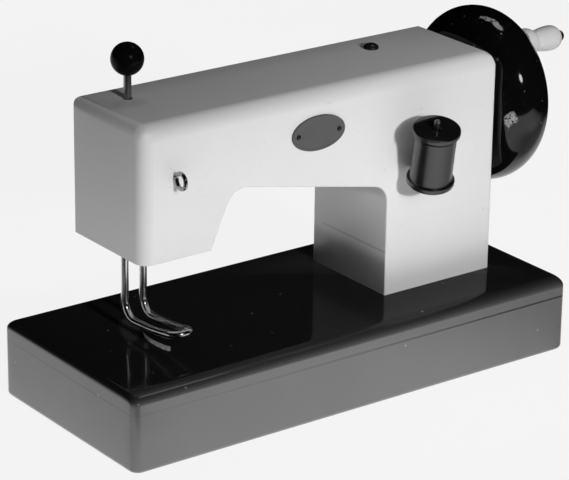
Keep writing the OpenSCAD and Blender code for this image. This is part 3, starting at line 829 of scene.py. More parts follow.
def rounded(corners: Sequence[Triple], closed: bool = True, steps: int = 6) -> list[Point]:
    """Rounds the corners of an outline.

    Args:
        corners: x, y and radius of each corner.
        closed: the last corner joins the first.
        steps: segments in each arc.

    Returns:
        The outline's points.
    """
    made: list[Point] = []
    count = len(corners)
    for i, (x, y, radius) in enumerate(corners):
        ends = not closed and i in (0, count - 1)
        if radius <= 0 or ends:
            made.append((x, y))
            continue
        here = Vector((x, y))
        before = (Vector(corners[i - 1][:2]) - here).normalized()
        after = (Vector(corners[(i + 1) % count][:2]) - here).normalized()
        half = before.angle(after) / 2
        middle = here + (before + after).normalized() * (radius / math.sin(half))
        reach = radius / math.tan(half)
        first, last = here + before * reach - middle, here + after * reach - middle
        turn = first.angle_signed(last)
        for k in range(steps + 1):
            spoke = Matrix.Rotation(-turn * k / steps, 2) @ first
            made.append((middle.x + spoke.x, middle.y + spoke.y))
    return made


def turned(
    name: str, outline: Sequence[Point], place: Matrix, steps: int = 96, closed: bool = True,
) -> bpy.types.Object:
    """Makes a lathe-turned piece.

    Args:
        name: the piece's name.
        outline: radius and height in mm; a closed loop, or a line from axis to axis.
        place: turns and moves it, in metres.
        steps: segments round the axis.
        closed: the outline is a loop that keeps clear of the axis.

    Returns:
        The object.
    """
    points: list[Vector] = []
    rings: list[list[int]] = []
    for radius, height in outline:
        if radius < MERGE:
            rings.append([len(points)] * steps)
            points.append(Vector((0, 0, height)))
            continue
        rings.append(list(range(len(points), len(points) + steps)))
        for k in range(steps):
            a = 2 * math.pi * k / steps
            points.append(Vector((radius * math.cos(a), radius * math.sin(a), height)))
    pairs = list(zip(rings, rings[1:] + rings[:1] if closed else rings[1:]))
    faces = []
    for low, high in pairs:
        for k in range(steps):
            n = (k + 1) % steps
            ring = [low[k], low[n], high[n], high[k]]
            face = [p for i, p in enumerate(ring) if p not in ring[:i]]
            if len(face) > 2:
                faces.append(face)
    return tidy(from_lists(name, [place @ (p * MM) for p in points], faces))


def shift(x: float, y: float, z: float) -> Matrix:
    """A place in mm."""
    return Matrix.Translation(Vector((x, y, z)) * MM)


def along_x(x: float, y: float, z: float) -> Matrix:
    """A place in mm whose own Z runs along X."""
    return shift(x, y, z) @ Matrix.Rotation(math.pi / 2, 4, "Y")


def cad_copy(node: str, name: str) -> bmesh.types.BMesh:
    """Copies a CAD node's mesh, merged, with its flat faces joined.

    Args:
        node: the CAD node.
        name: name of the piece, for the log.

    Returns:
        The mesh to work on.
    """
    work = bmesh.new()
    work.from_mesh(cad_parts[node].data)
    bmesh.ops.remove_doubles(work, verts=work.verts, dist=CAD_MERGE)
    bmesh.ops.dissolve_limit(
        work, angle_limit=math.radians(FLAT), verts=work.verts, edges=work.edges, delimit=set(),
    )
    LOG.info("%s starts from %s with %d faces", name, node, len(work.faces))
    return work


def from_work(work: bmesh.types.BMesh, name: str) -> bpy.types.Object:
    """Makes an object from a working mesh, without the layers that came with it.

    Args:
        work: the working mesh, which is freed.
        name: the piece's name.

    Returns:
        The object.
    """
    work.verts.index_update()
    points = [v.co.copy() for v in work.verts]
    faces = [[v.index for v in f.verts] for f in work.faces]
    work.free()
    return from_lists(name, points, faces)


def sharp_edges(work: bmesh.types.BMesh, limit: float) -> list[bmesh.types.BMEdge]:
    """Edges whose two faces meet at more than limit degrees."""
    bound = math.radians(limit)
    return [e for e in work.edges if len(e.link_faces) == 2 and e.calc_face_angle(0.0) > bound]


def ease(work: bmesh.types.BMesh, edges: Sequence[bmesh.types.BMEdge], width: float) -> None:
    """Rounds edges.

    Args:
        work: the working mesh.
        edges: its edges.
        width: how far the round reaches from each edge in mm.
    """
    bmesh.ops.bevel(
        work, geom=list(edges), offset=width * MM, offset_type="OFFSET", segments=3,
        profile=0.5, affect="EDGES", clamp_overlap=False,
    )


def store(piece: bpy.types.Object, name: str, values: Sequence[float]) -> None:
    """Stores one number for each point of a mesh."""
    layer = piece.data.attributes.new(name, "FLOAT", "POINT")
    layer.data.foreach_set("value", np.asarray(values, np.float32))


class Recipe:
    """A geometry node tree with named inputs, used once for each piece."""

    def __init__(self, name: str) -> None:
        """Starts a tree with a geometry input and output.

        Args:
            name: the tree's name.
        """
        self.group = bpy.data.node_groups.new(name, "GeometryNodeTree")
        self.nodes = Nodes(self.group)
        self.keys: dict[str, str] = {}
        self.source = self.group.nodes.new("NodeGroupInput")
        self.shape = self.ask("Geometry", "NodeSocketGeometry")
        self.group.interface.new_socket(name="Geometry", in_out="OUTPUT", socket_type="NodeSocketGeometry")

    def ask(self, name: str, kind: str) -> Sock:
        """Adds a named input.

        Args:
            name: the input's name.
            kind: its socket type.

        Returns:
            The socket inside the tree.
        """
        item = self.group.interface.new_socket(name=name, in_out="INPUT", socket_type=kind)
        self.keys[name] = item.identifier
        return Sock(self.nodes, pick(self.source.outputs, item.identifier))

    def close(self, shape: Sock) -> None:
        """Ends the tree: real geometry with its material.

        Args:
            shape: the geometry.
        """
        finish = self.ask("Finish", "NodeSocketMaterial")
        real = self.nodes.add("GeometryNodeRealizeInstances", {}, {"Geometry": shape})["Geometry"]
        dressed = self.nodes.add("GeometryNodeSetMaterial", {}, {"Geometry": real, "Material": finish})
        self.nodes.add("NodeGroupOutput", {}, {0: dressed["Geometry"]})

    def make(self, piece: bpy.types.Object, finish: Finish, **sizes: object) -> bpy.types.Object:
        """Runs the tree on a piece and leaves a plain mesh.

        Args:
            piece: the object that holds the path or the points.
            finish: its finish.
            sizes: values of the named inputs, with _ for a space.

        Returns:
            The same object.
        """
        live = piece.modifiers.new(self.group.name, "NODES")
        live.node_group = self.group
        live[self.keys["Finish"]] = finish.material()
        for name, value in sizes.items():
            live[self.keys[name.replace("_", " ")]] = value
        return settle(piece)


WIRE_SIDES = 28
TIP_REACH = 0.7
TIP_CUT = 0.72


class WireRecipe(Recipe):
    """A round wire along the piece's own path, with rounded ends."""

    def __init__(self) -> None:
        """Builds the tree."""
        super().__init__("bent_wire")
        nodes = self.nodes
        radius = self.ask("Wire Radius", "NodeSocketFloat")
        sides = self.ask("Sides", "NodeSocketInt")
        path = nodes.add("GeometryNodeMeshToCurve", {}, {"Mesh": self.shape})["Curve"]
        ring = nodes.add("GeometryNodeCurvePrimitiveCircle", {}, {"Resolution": sides, "Radius": radius})["Curve"]
        run = nodes.add("GeometryNodeSplineParameter", {}, {})["Length"]
        whole = nodes.add("GeometryNodeSplineLength", {}, {})["Length"]
        short = (1 - run.math("MINIMUM", whole - run) / (radius * TIP_REACH)).held()
        taper = (1 - short * short * TIP_CUT).math("SQRT")
        values = {"Curve": path, "Profile Curve": ring, "Scale": taper, "Fill Caps": True}
        self.close(nodes.add("GeometryNodeCurveToMesh", {}, values)["Mesh"])


WHEEL_GRID = {"Size X": 1.0, "Size Y": 1.0, "Vertices X": 193, "Vertices Y": 101}
WHEEL_SPANS = (0.0, 0.15, 0.80, 0.95, 1.0)


class WheelRecipe(Recipe):
    """A turned wheel with a full round rim: the section is a rule of the wheel's sizes."""

    def __init__(self) -> None:
        """Builds the tree."""
        super().__init__("turned_wheel")
        nodes = self.nodes
        radius = self.ask("Wheel Radius", "NodeSocketFloat")
        rim = self.ask("Rim Radius", "NodeSocketFloat")
        bore = self.ask("Bore Radius", "NodeSocketFloat")
        middle = self.ask("Middle", "NodeSocketVector")
        sheet = nodes.add("GeometryNodeMeshGrid", {}, WHEEL_GRID)["Mesh"]
        across, along, _ = nodes.parts(nodes.add("GeometryNodeInputPosition", {}, {})["Position"])
        angle = (across + 0.5) * (2 * math.pi)
        face, bend, back, wall = (
            ((along + 0.5 - start) / (end - start)).held() for start, end in zip(WHEEL_SPANS, WHEEL_SPANS[1:])
        )
        bend = bend * math.pi
        flat = radius - rim - bore
        reach = bore + flat * (face - back) + rim * bend.math("SINE")
        depth = rim * (0.0 - bend.math("COSINE")) - rim * wall * 2.0
        spot = nodes.add("ShaderNodeCombineXYZ", {}, {
            "X": depth, "Y": reach * angle.math("SINE"), "Z": reach * angle.math("COSINE"),
        })["Vector"]
        moved = nodes.vector("ADD", spot, middle)["Vector"]
        shape = nodes.add("GeometryNodeSetPosition", {}, {"Geometry": sheet, "Position": moved})["Geometry"]
        values = {"Geometry": shape, "Distance": CAD_MERGE}
        self.close(nodes.add("GeometryNodeMergeByDistance", {}, values)["Geometry"])


class FastenerRecipe(Recipe):
    """One fastener at each point of the piece, each turned by its own angle."""

    def __init__(self) -> None:
        """Builds the tree."""
        super().__init__("set_of_fasteners")
        nodes = self.nodes
        pattern = self.ask("Pattern", "NodeSocketObject")
        aim = self.ask("Aim", "NodeSocketRotation")
        spread = self.ask("Spread", "NodeSocketFloat")
        seed = self.ask("Seed", "NodeSocketInt")
        one = nodes.add("GeometryNodeObjectInfo", {}, {"Object": pattern})["Geometry"]
        values = {"Points": self.shape, "Instance": one, "Rotation": aim}
        many = nodes.add("GeometryNodeInstanceOnPoints", {}, values)["Instances"]
        spin = nodes.add("FunctionNodeRandomValue", {"data_type": "FLOAT"}, {
            "Min_001": 0.0, "Max_001": spread, "Seed": seed,
        })["Value_001"]
        values = {"Axis": (0.0, 0.0, 1.0), "Angle": spin}
        turn = nodes.add("FunctionNodeAxisAngleToRotation", {}, values)["Rotation"]
        values = {"Instances": many, "Rotation": turn}
        self.close(nodes.add("GeometryNodeRotateInstances", {}, values)["Instances"])

    def place(
        self, name: str, pattern: bpy.types.Object, points: Sequence[Vector], aim: Triple,
        finish: Finish, seed: int,
    ) -> bpy.types.Object:
        """Puts a pattern at points and removes the pattern.

        Args:
            name: the new piece's name.
            pattern: one fastener, drawn along Z with its head's seat at the origin.
            points: places in metres.
            aim: turn that lays the pattern's Z along the hole.
            finish: its finish.
            seed: seed of the random turns.

        Returns:
            The set of fasteners.
        """
        piece = from_lists(name, points, [])
        self.make(piece, finish, Pattern=pattern, Aim=aim, Spread=math.pi, Seed=seed)
        discard(pattern)
        return tidy(piece)


def arc(
    middle: Sequence[float], radius: float, start: float, end: float, steps: int,
    u: Sequence[float], v: Sequence[float],
) -> list[Vector]:
    """Points on an arc in mm.

    Args:
        middle: the arc's middle.
        radius: its radius.
        start: first angle in degrees, from u towards v.
        end: last angle.
        steps: segments.
        u: direction of angle 0.
        v: direction of angle 90.

    Returns:
        The points.
    """
    m, a, b = Vector(middle), Vector(u), Vector(v)
    turns = [math.radians(start + (end - start) * k / steps) for k in range(steps + 1)]
    return [m + a * (radius * math.cos(t)) + b * (radius * math.sin(t)) for t in turns]


def straight(first: Vector, last: Vector, steps: int) -> list[Vector]:
    """Points on a line in mm, both ends included."""
    return [first.lerp(last, k / steps) for k in range(steps + 1)]


def wire(recipe: WireRecipe, name: str, path: Sequence[Vector], radius: float, finish: Finish) -> bpy.types.Object:
    """Makes a wire.

    Args:
        recipe: the wire's node tree.
        name: the piece's name.
        path: its middle line in mm.
        radius: its radius in mm.
        finish: its finish.

    Returns:
        The object.
    """
    kept = [path[0]]
    for p in path[1:]:
        if (p - kept[-1]).length > 1e-3:
            kept.append(p)
    piece = from_lists(name, [p * MM for p in kept], [], [(i, i + 1) for i in range(len(kept) - 1)])
    recipe.make(piece, finish, Wire_Radius=radius * MM, Sides=WIRE_SIDES)
    return tidy(piece, 50.0)


CORNER_STEPS = 9
SIDE_SPANS = 24
BOX_SIDES = ((0, 1, 3, 2), (4, 6, 7, 5), (0, 4, 5, 1), (2, 3, 7, 6), (0, 2, 6, 4), (1, 5, 7, 3))


def box(name: str, low: Triple, high: Triple) -> bpy.types.Object:
    """A box between two corners in metres, whose points run in order of x, then y, then z."""
    return tidy(from_lists(name, list(product(*zip(low, high))), BOX_SIDES))


def stacked(name: str, rows: Sequence[Sequence[Vector]]) -> bpy.types.Object:
    """Makes a closed piece from rings that have the same number of points.

    Args:
        name: the piece's name.
        rows: the rings in mm, from one end face to the other.

    Returns:
        The object.
    """
    size, last = len(rows[0]), len(rows) - 1
    faces = []
    for low in range(0, last * size, size):
        for k in range(size):
            n = (k + 1) % size
            faces.append((low + k, low + n, low + size + n, low + size + k))
    faces += [tuple(range(size)), tuple(range(last * size, (last + 1) * size))]
    return tidy(from_lists(name, [p * MM for row in rows for p in row], faces), SOFT_EDGE)


def slab(name: str, half: Point, corner: float, section: Sequence[Sequence[float]]) -> bpy.types.Object:
    """Makes a board with round corners whose edges follow a section.

    Args:
        name: the piece's name.
        half: half its length and depth in mm.
        corner: radius of the upright corners in mm.
        section: insets at the ends, in front and at the back, and height, all in mm, from the lower face's edge to
            the upper face's.

    Returns:
        The board.
    """
    rows = []
    for end, front, back, height in section:
        x, y0, y1 = half[0] - end - corner, corner + front - half[1], half[1] - back - corner
        ring: list[Vector] = []
        for spot, start in (((x, y1), 0), ((-x, y1), 90), ((-x, y0), 180), ((x, y0), 270)):
            ring += arc((*spot, height), corner, start, start + 90, CORNER_STEPS, (1, 0, 0), (0, 1, 0))
        row: list[Vector] = []
        for k, spot in enumerate(ring):
            spans = SIDE_SPANS if k % (CORNER_STEPS + 1) == CORNER_STEPS else 1
            row += straight(spot, ring[(k + 1) % len(ring)], spans)[:-1]
        rows.append(row)
    return stacked(name, rows)


def drill(piece: bpy.types.Object, radius: float, low: float, high: float, spots: Sequence[Point]) -> None:
    """Bores upright holes in a piece.

    Args:
        piece: the piece.
        radius: the holes' radius in mm.
        low: where the holes start.
        high: where they end.
        spots: x and y of each hole in mm.
    """
    line = [(0.0, low), (radius, low), (radius, high), (0.0, high)]
    for x, y in spots:
        carve(piece, turned(piece.name + "_bit", line, shift(x, y, 0.0), 48, closed=False))


def quarter_turn(steps: int) -> list[float]:
    """Angles from 0 to a quarter turn, both included."""
    return [math.pi / 2 * k / steps for k in range(steps + 1)]


def cap(radius: float, height: float, radii: Iterable[float]) -> list[Point]:
    """Points on a ball's cap of that radius and height, at the radii given."""
    ball = (radius**2 + height**2) / (2 * height)
    return [(r, height - ball + math.sqrt(max(0.0, ball**2 - r**2))) for r in radii]


def dome(radius: float, low: float, high: float, steps: int) -> list[Point]:
    """Points on a quarter ellipse, from its rim at height low to its crown at height high."""
    turns = quarter_turn(steps)[:-1]
    return [*((radius * math.cos(t), low + (high - low) * math.sin(t)) for t in turns), (0.0, high)]


def slotted_head(
    name: str, radius: float, height: float, slot: float, shank: float, shank_share: float,
) -> bpy.types.Object:
    """One slotted screw along Z, with its head's seat at the origin and its shank below.

    Args:
        name: name of the pattern.
        radius: the head's radius in mm.
        height: the head's height in mm.
        slot: the slot's half width in mm.
        shank: the shank's length in mm.
        shank_share: the shank's radius as a share of the head's.

    Returns:
        The pattern.
    """
    thin = radius * shank_share
    crown = cap(radius, height, (radius * (1 - k / 12) for k in range(13)))
    outline = [(0.0, -shank), (thin * 0.7, -shank), (thin, -shank + thin), (thin, 0.0), *crown]
    screw = turned(name, outline, Matrix.Identity(4), 48, closed=False)
    wide, floor, top = radius * 1.2, height * 0.45, height * 1.5
    carve(screw, box(name + "_slot", metres((-wide, -slot, floor)), metres((wide, slot, top))))
    return tidy(screw)


@dataclass
class Base:
    """The lacquered base: a block and a board whose upper edges roll over softly."""

    half: Point = (125.0, 54.3)
    corner: float = 4.0
    joint_ease: float = 0.04
    foot_ease: float = 2.6
    end_r: float = 3.4
    roll: Point = (9.0, 4.6)
    bore: float = 4.55
    bore_depth: float = 14.0
    shank_bore: float = 2.3
    spare: float = 1.0
    # Tilts at which the sides' painted floor reflection grows, in front and at the ends: start and width in
    # degrees, and a power.
    front_reflection_ramp: Triple = (4.0, 66.0, 1.3)
    end_reflection_ramp: Triple = (52.0, 34.0, 1.5)

    def build(self) -> None:
        """Makes the block and the board, with the two screws' holes."""
        lo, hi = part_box("column_screws")
        r = (hi.y - lo.y) / 2
        spots = [(x / MM, (lo.y + hi.y) / 2 / MM) for x in (lo.x + r, hi.x - r)]
        ease, foot, spare = self.joint_ease, self.foot_ease, self.spare
        eased = (ease, ease, ease, JOINT)
        section = [(*(foot * (1 - math.sin(t)),) * 3, foot * (1 - math.cos(t))) for t in quarter_turn(6)]
        section += [(0.0, 0.0, 0.0, JOINT - ease), eased]
        block = slab("lacquered_block", self.half, self.corner, section)
        drill(block, self.bore, -spare, self.bore_depth, spots)
        drill(block, self.shank_bore, self.bore_depth - spare / 2, JOINT + spare, spots)
        board = slab("lacquered_board", self.half, self.corner, [eased, *self.upper_edge()])
        drill(board, self.shank_bore, JOINT - spare, BASE_TOP + spare, spots)
        for piece, node in ((block, "base_block"), (board, "base_board")):
            tidy(piece, SOFT_EDGE)
            self.dress(piece)
            mount(piece, Rider.MACHINE, LACQUER, node)

    def upper_edge(self) -> list[tuple[float, float, float, float]]:
        """The board's section above the joint: a wide roll in front, a plain round at the ends and the back.

        Returns:
            Insets and heights in mm.
        """
        deep, tall = self.roll
        section = [(0.0, 0.0, 0.0, JOINT + self.joint_ease)]
        for t in quarter_turn(18):
            fall = tall * (1 - math.sin(t))
            rise = max(0.0, self.end_r - fall)
            wide = self.end_r - math.sqrt(self.end_r**2 - rise**2)
            section.append((wide, deep * (1 - math.cos(t)), wide, BASE_TOP - fall))
        return section

    def dress(self, piece: bpy.types.Object) -> None:
        """Stores how upright the surface is, for the sides' rougher lacquer and painted floor reflection.

        Args:
            piece: the block or the board.
        """
        up = np.zeros(len(piece.data.vertices) * 3, np.float32)
        piece.data.vertices.foreach_get("normal", up)
        up = up.reshape(-1, 3)
        tilt = np.degrees(np.arccos(np.clip(np.abs(up[:, 2]), 0.0, 1.0)))
        # The painted grey grows with the tilt, as the floor's reflection does.
        front, ends = (
            np.clip((tilt - start) / width, 0.0, 1.0) ** power
            for start, width, power in (self.front_reflection_ramp, self.end_reflection_ramp)
        )
        share = up[:, 0] ** 2 / np.maximum(up[:, 0] ** 2 + up[:, 1] ** 2, 1e-9)
        side = front + (ends - front) * share
        upright = (JOINT + self.spare / 2) * MM
        side[[v.index for v in piece.data.vertices if v.co.z < upright]] = 1.0
        store(piece, "side", side)


@dataclass
class Body:
    """The painted body: column, arm and head, its rear cover and their screws."""

    edge_ease: float = 0.7
    inner_x: float = 38.4
    front_top_r: float = 7.6
    front_r: float = 6.2
    wheel_r: float = 2.6
    end_r: float = 5.6
    skin: float = 0.02
    spare: float = 20.0
    head_x: Point = (-98.0, -61.0)
    head_z: float = 81.7
    throat_x: Point = (-62.0, 38.8)
    throat_z: Point = (40.0, 110.0)
    chamber: Point = (-60.0, 84.0)
    column_head: float = 3.2

    def build(self, fasteners: FastenerRecipe) -> None:
        """Makes the body, the cover, and the screws that hold them.

        Args:
            fasteners: node tree for sets of screws.
        """
        work = cad_copy("arm_body", "painted_body")
        lo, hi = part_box("arm_body")
        rims = []
        for edge in sharp_edges(work, SOFT_EDGE):
            a, b = (v.co for v in edge.verts)
            on_face = any(all(abs(p.y - y) < TOUCH for p in (a, b)) for y in (lo.y, hi.y))
            if on_face and self.on_throat((a + b) / 2):
                rims.append(edge)
        ease(work, rims, self.edge_ease)
        piece = from_work(work, "painted_body")
        self.soften(piece)
        # Marks the column's inner face, which the paint darkens as painted shade.
        inner = [1.0 if abs(v.co.x / MM - self.inner_x) < 0.02 else 0.0 for v in piece.data.vertices]
        store(piece, "inner", inner)
        mount(piece, Rider.MACHINE, PAINT, "arm_body")
        coat(PAINT, "rear_cover")
        self.build_screws(fasteners)

    def soften(self, piece: bpy.types.Object) -> None:
        """Cuts the body to a block whose outer edges are rounded as much as the photograph shows.

        Args:
            piece: the body.
        """
        lo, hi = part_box("arm_body")
        skin, spare = self.skin * MM, self.spare * MM
        low = (lo.x + skin, lo.y + skin, lo.z - spare)
        block = box("body_envelope", low, (hi.x - skin, hi.y + spare, hi.z - skin))
        radii = {
            (0, 1): self.front_r, (4, 5): self.wheel_r, (1, 5): self.front_top_r,
            (1, 3): self.end_r, (5, 7): self.end_r,
        }
        wide = max(radii.values())
        shares = [radii.get(tuple(sorted(edge.vertices)), 0.0) / wide for edge in block.data.edges]
        layer = block.data.attributes.new("bevel_weight_edge", "FLOAT", "EDGE")
        layer.data.foreach_set("value", np.asarray(shares, np.float32))
        bevel = block.modifiers.new("round", "BEVEL")
        bevel.limit_method = "WEIGHT"
        bevel.width = wide * MM
        bevel.segments = 14
        carve(piece, settle(block), "INTERSECT")
        tidy(piece, 30.0)

    def on_throat(self, spot: Vector) -> bool:
        """Tells whether a point lies on the sawn outline under the arm, away from holes and the cover.

        Args:
            spot: the point in metres.

        Returns:
            True where it does.
        """
        x, z = spot.x / MM, spot.z / MM
        head_end = self.head_x[0] < x < self.head_x[1] and abs(z - self.head_z) < 0.2
        opening = self.throat_x[0] < x < self.throat_x[1] and self.throat_z[0] < z < self.throat_z[1]
        return head_end or (opening and not (x < self.chamber[0] and z > self.chamber[1]))

    def build_screws(self, fasteners: FastenerRecipe) -> None:
        """Makes the cover's domed screws and the column's screws under the base.

        Args:
            fasteners: node tree for sets of screws.
        """
        lo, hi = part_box("cover_screws")
        r = self.head_radius("cover_screws")
        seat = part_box("rear_cover")[1].y
        points = [Vector((x, seat, z)) for x in (lo.x + r, hi.x - r) for z in (lo.z + r, hi.z - r)]
        head = slotted_head(
            "cover_screw_pattern", r / MM, (hi.y - seat) / MM, slot=0.28, shank=6.0, shank_share=0.30,
        )
        piece = fasteners.place("cover_screw_set", head, points, (-math.pi / 2, 0.0, 0.0), STEEL, 4)
        mount(piece, Rider.MACHINE, STEEL, "cover_screws")
        lo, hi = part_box("column_screws")
        r, middle, depth = (hi.y - lo.y) / 2, (lo.y + hi.y) / 2, self.column_head
        points = [Vector((x, middle, lo.z + depth * MM)) for x in (lo.x + r, hi.x - r)]
        shank = (hi.z - lo.z) / MM - depth
        head = slotted_head("column_screw_pattern", r / MM, depth, slot=0.45, shank=shank, shank_share=0.55)
        piece = fasteners.place("column_screw_set", head, points, (math.pi, 0.0, 0.0), STEEL, 9)
        mount(piece, Rider.MACHINE, STEEL, "column_screws")

    def head_radius(self, node: str) -> float:
        """Finds the radius of one screw's head from the gap between the heads.

        Args:
            node: the screws' CAD node.

        Returns:
            The radius in metres.
        """
        xs = sorted({round(v.co.x, 6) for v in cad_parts[node].data.vertices})
        gaps = [(b - a, a) for a, b in zip(xs, xs[1:])]
        return (max(gaps)[1] - xs[0]) / 2


@dataclass
class HandWheel:
    """The turned hand wheel with its grip and the grip's nail."""

    radius: float = 43.0
    rim: float = 15.5
    bore: float = 2.04
    middle: Triple = (120.9, 11.1, 114.0)
    grip_axis: Point = (-0.8688, 138.9810)
    grip_start: float = 136.7
    grip_length: float = 23.2
    grip_play: float = 0.08
    grip_lip: float = 0.05
    ball: Point = (2.0, 7.2)
    egg: Point = (17.4, 6.2)
    egg_reach: float = 1.9
    egg_cut: float = 0.88
    nail: float = 1.5
    nail_point: float = 1.2
    nail_crown: float = 2.8

    def build(self, recipe: WheelRecipe) -> None:
        """Makes the wheel, the grip and the nail, and coats the pieces on the shaft.

        Args:
            recipe: the wheel's node tree.
        """
        piece = from_lists("lacquered_wheel", [(0, 0, 0)], [])
        recipe.make(
            piece, WHEEL_LACQUER, Wheel_Radius=self.radius * MM, Rim_Radius=self.rim * MM,
            Bore_Radius=self.bore * MM, Middle=metres(self.middle),
        )
        mount(tidy(piece, SOFT_EDGE), Rider.WHEEL, WHEEL_LACQUER, "hand_wheel")
        self.build_grip()
        self.build_nail()
        coat(STEEL, "wheel_washer", "thrust_washer", "drive_shaft", "crank_disc", "crank_pin", "crank_screw")
        coat(BRIGHT, "wheel_nut")
        coat(BRASS, "shaft_bush_head", "shaft_bush_wheel", "rod_guide")

    def grip_radius(self, x: float) -> float:
        """Finds the grip's radius: a ball that meets an egg.

        Args:
            x: distance from the grip's start in mm.

        Returns:
            The radius in mm.
        """
        ball_x, ball_r = self.ball
        egg_x, egg_r = self.egg
        half = (self.grip_length - egg_x) / self.egg_cut if x > egg_x else (egg_x - ball_x) / 2 * self.egg_reach
        ball = math.sqrt(max(0.0, ball_r**2 - (x - ball_x) ** 2))
        egg = egg_r * math.sqrt(max(0.0, 1 - ((x - egg_x) / half) ** 2))
        return max(ball, egg)

    def build_grip(self) -> None:
        """Makes the turned grip."""
        hole = self.nail + self.grip_play
        xs = [self.grip_length * (1 - math.cos(math.pi * k / 120)) / 2 for k in range(121)]
        outline = [(max(self.grip_radius(x), hole + self.grip_lip), x) for x in xs]
        outline = [(hole, 0.0), *outline, (hole, self.grip_length)]
        grip = turned("turned_grip", outline, along_x(self.grip_start, *self.grip_axis), 80)
        mount(grip, Rider.HANDLE, GRIP_GLOSS, "handle_grip")

    def build_nail(self) -> None:
        """Makes the nail that the grip turns on, with its domed head."""
        lo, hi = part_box("handle_pin")
        head, length = (hi.z - lo.z) / 2 / MM, (hi.x - lo.x) / MM
        seat = length - self.nail_crown
        crown = cap(head, self.nail_crown, (head * math.cos(t) for t in quarter_turn(12)[:-1]))
        line = [(0.0, 0.0), (self.nail * 0.4, 0.0), (self.nail, self.nail_point), (self.nail, seat)]
        line += [(r, seat + h) for r, h in crown] + [(0.0, length)]
        nail = turned("grip_nail", line, along_x(lo.x / MM, *self.grip_axis), 48, closed=False)
        mount(nail, Rider.WHEEL, NAIL, "handle_pin")


@dataclass
class NeedleDrive:
    """The needle's rod, its ball knob and the wire foot."""

    needle_x: float = -79.4
    rod_y: float = 18.2
    rod_r: float = 1.8
    rod_play: float = 0.04
    rod_ease: float = 0.3
    knob_z: float = 164.4
    knob_r: float = 7.65
    knob_hole: float = 5.0
    knob_sink: Point = (0.35, 0.25)
    wire_r: float = 1.8
    leg_gap: float = 9.9
    leg_y: float = 14.1
    bend_r: float = 8.0
    bend_z: float = 51.3
    rise_r: float = 180.0
    rise_angle: float = 2.0
    run: float = 27.5

    def build(self, wires: WireRecipe) -> None:
        """Makes the knob, the rod and the foot.

        Args:
            wires: the wires' node tree.
        """
        place = shift(self.needle_x, self.rod_y, self.knob_z)
        knob = turned("ball_knob_turned", self.knob_outline(), place, 96, closed=False)
        mount(knob, Rider.NEEDLE, KNOB_LACQUER, "ball_knob")
        lo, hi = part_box("needle_rod")
        r, length, soft = self.rod_r, (hi.z - lo.z) / MM, self.rod_ease
        ends = rounded([(0, 0, 0), (r, 0, soft), (r, length, soft), (0, length, 0)], closed=False)
        place = shift(self.needle_x, self.rod_y, lo.z / MM)
        mount(turned("needle_rod_drawn", ends, place, 40, closed=False), Rider.NEEDLE, ROD_STEEL, "needle_rod")
        foot = wire(wires, "bent_foot", self.foot_path(), self.wire_r, BRIGHT)
        mount(foot, Rider.NEEDLE, BRIGHT, "foot_wire")
        coat(STEEL, "needle_yoke")

    def knob_outline(self) -> list[Point]:
        """The knob's section: a ball with the rod's blind hole, eased at its mouth.

        Returns:
            Radii and heights in mm, from the hole's floor to the crown.
        """
        r, hole = self.knob_r, self.rod_r + self.rod_play
        out, sink = self.knob_sink
        low = math.asin((hole + out) / r)
        floor = self.knob_hole - r
        turns = [low + (math.pi - low) * k / 64 for k in range(64)]
        ball = [(r * math.sin(t), -r * math.cos(t)) for t in turns]
        return [(0.0, floor), (hole, floor), (hole, -r * math.cos(low) + sink), *ball, (0.0, r)]

    def foot_path(self) -> list[Vector]:
        """The foot's middle line: leg, bend, run, round toe, and back up the other leg.

        Returns:
            Its points in mm.
        """
        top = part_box("foot_wire")[1].z / MM
        sweep = 90.0 + self.rise_angle
        toe = sweep + math.degrees(self.run / self.rise_r)
        middle = Vector((0, self.leg_y - self.bend_r, self.bend_z))
        out = Vector((0, math.cos(math.radians(sweep)), -math.sin(math.radians(sweep))))
        far = middle + out * (self.bend_r - self.rise_r)
        side = straight(Vector((0, self.leg_y, top)), Vector((0, self.leg_y, self.bend_z)), 10)
        side += arc(middle, self.bend_r, 0, sweep, 24, (0, 1, 0), (0, 0, -1))
        side += arc(far, self.rise_r, sweep, toe, 20, (0, 1, 0), (0, 0, -1))
        left = Vector((self.needle_x - self.leg_gap / 2, 0, 0))
        right = Vector((self.needle_x + self.leg_gap / 2, 0, 0))
        end = side[-1] + Vector((self.needle_x, 0, 0))
        angle = math.radians(toe)
        ahead = Vector((0, -math.sin(angle), -math.cos(angle)))
        nose = arc(end, self.leg_gap / 2, 180, 0, 28, (1, 0, 0), ahead)
        return [left + p for p in side] + nose + [right + p for p in reversed(side)]


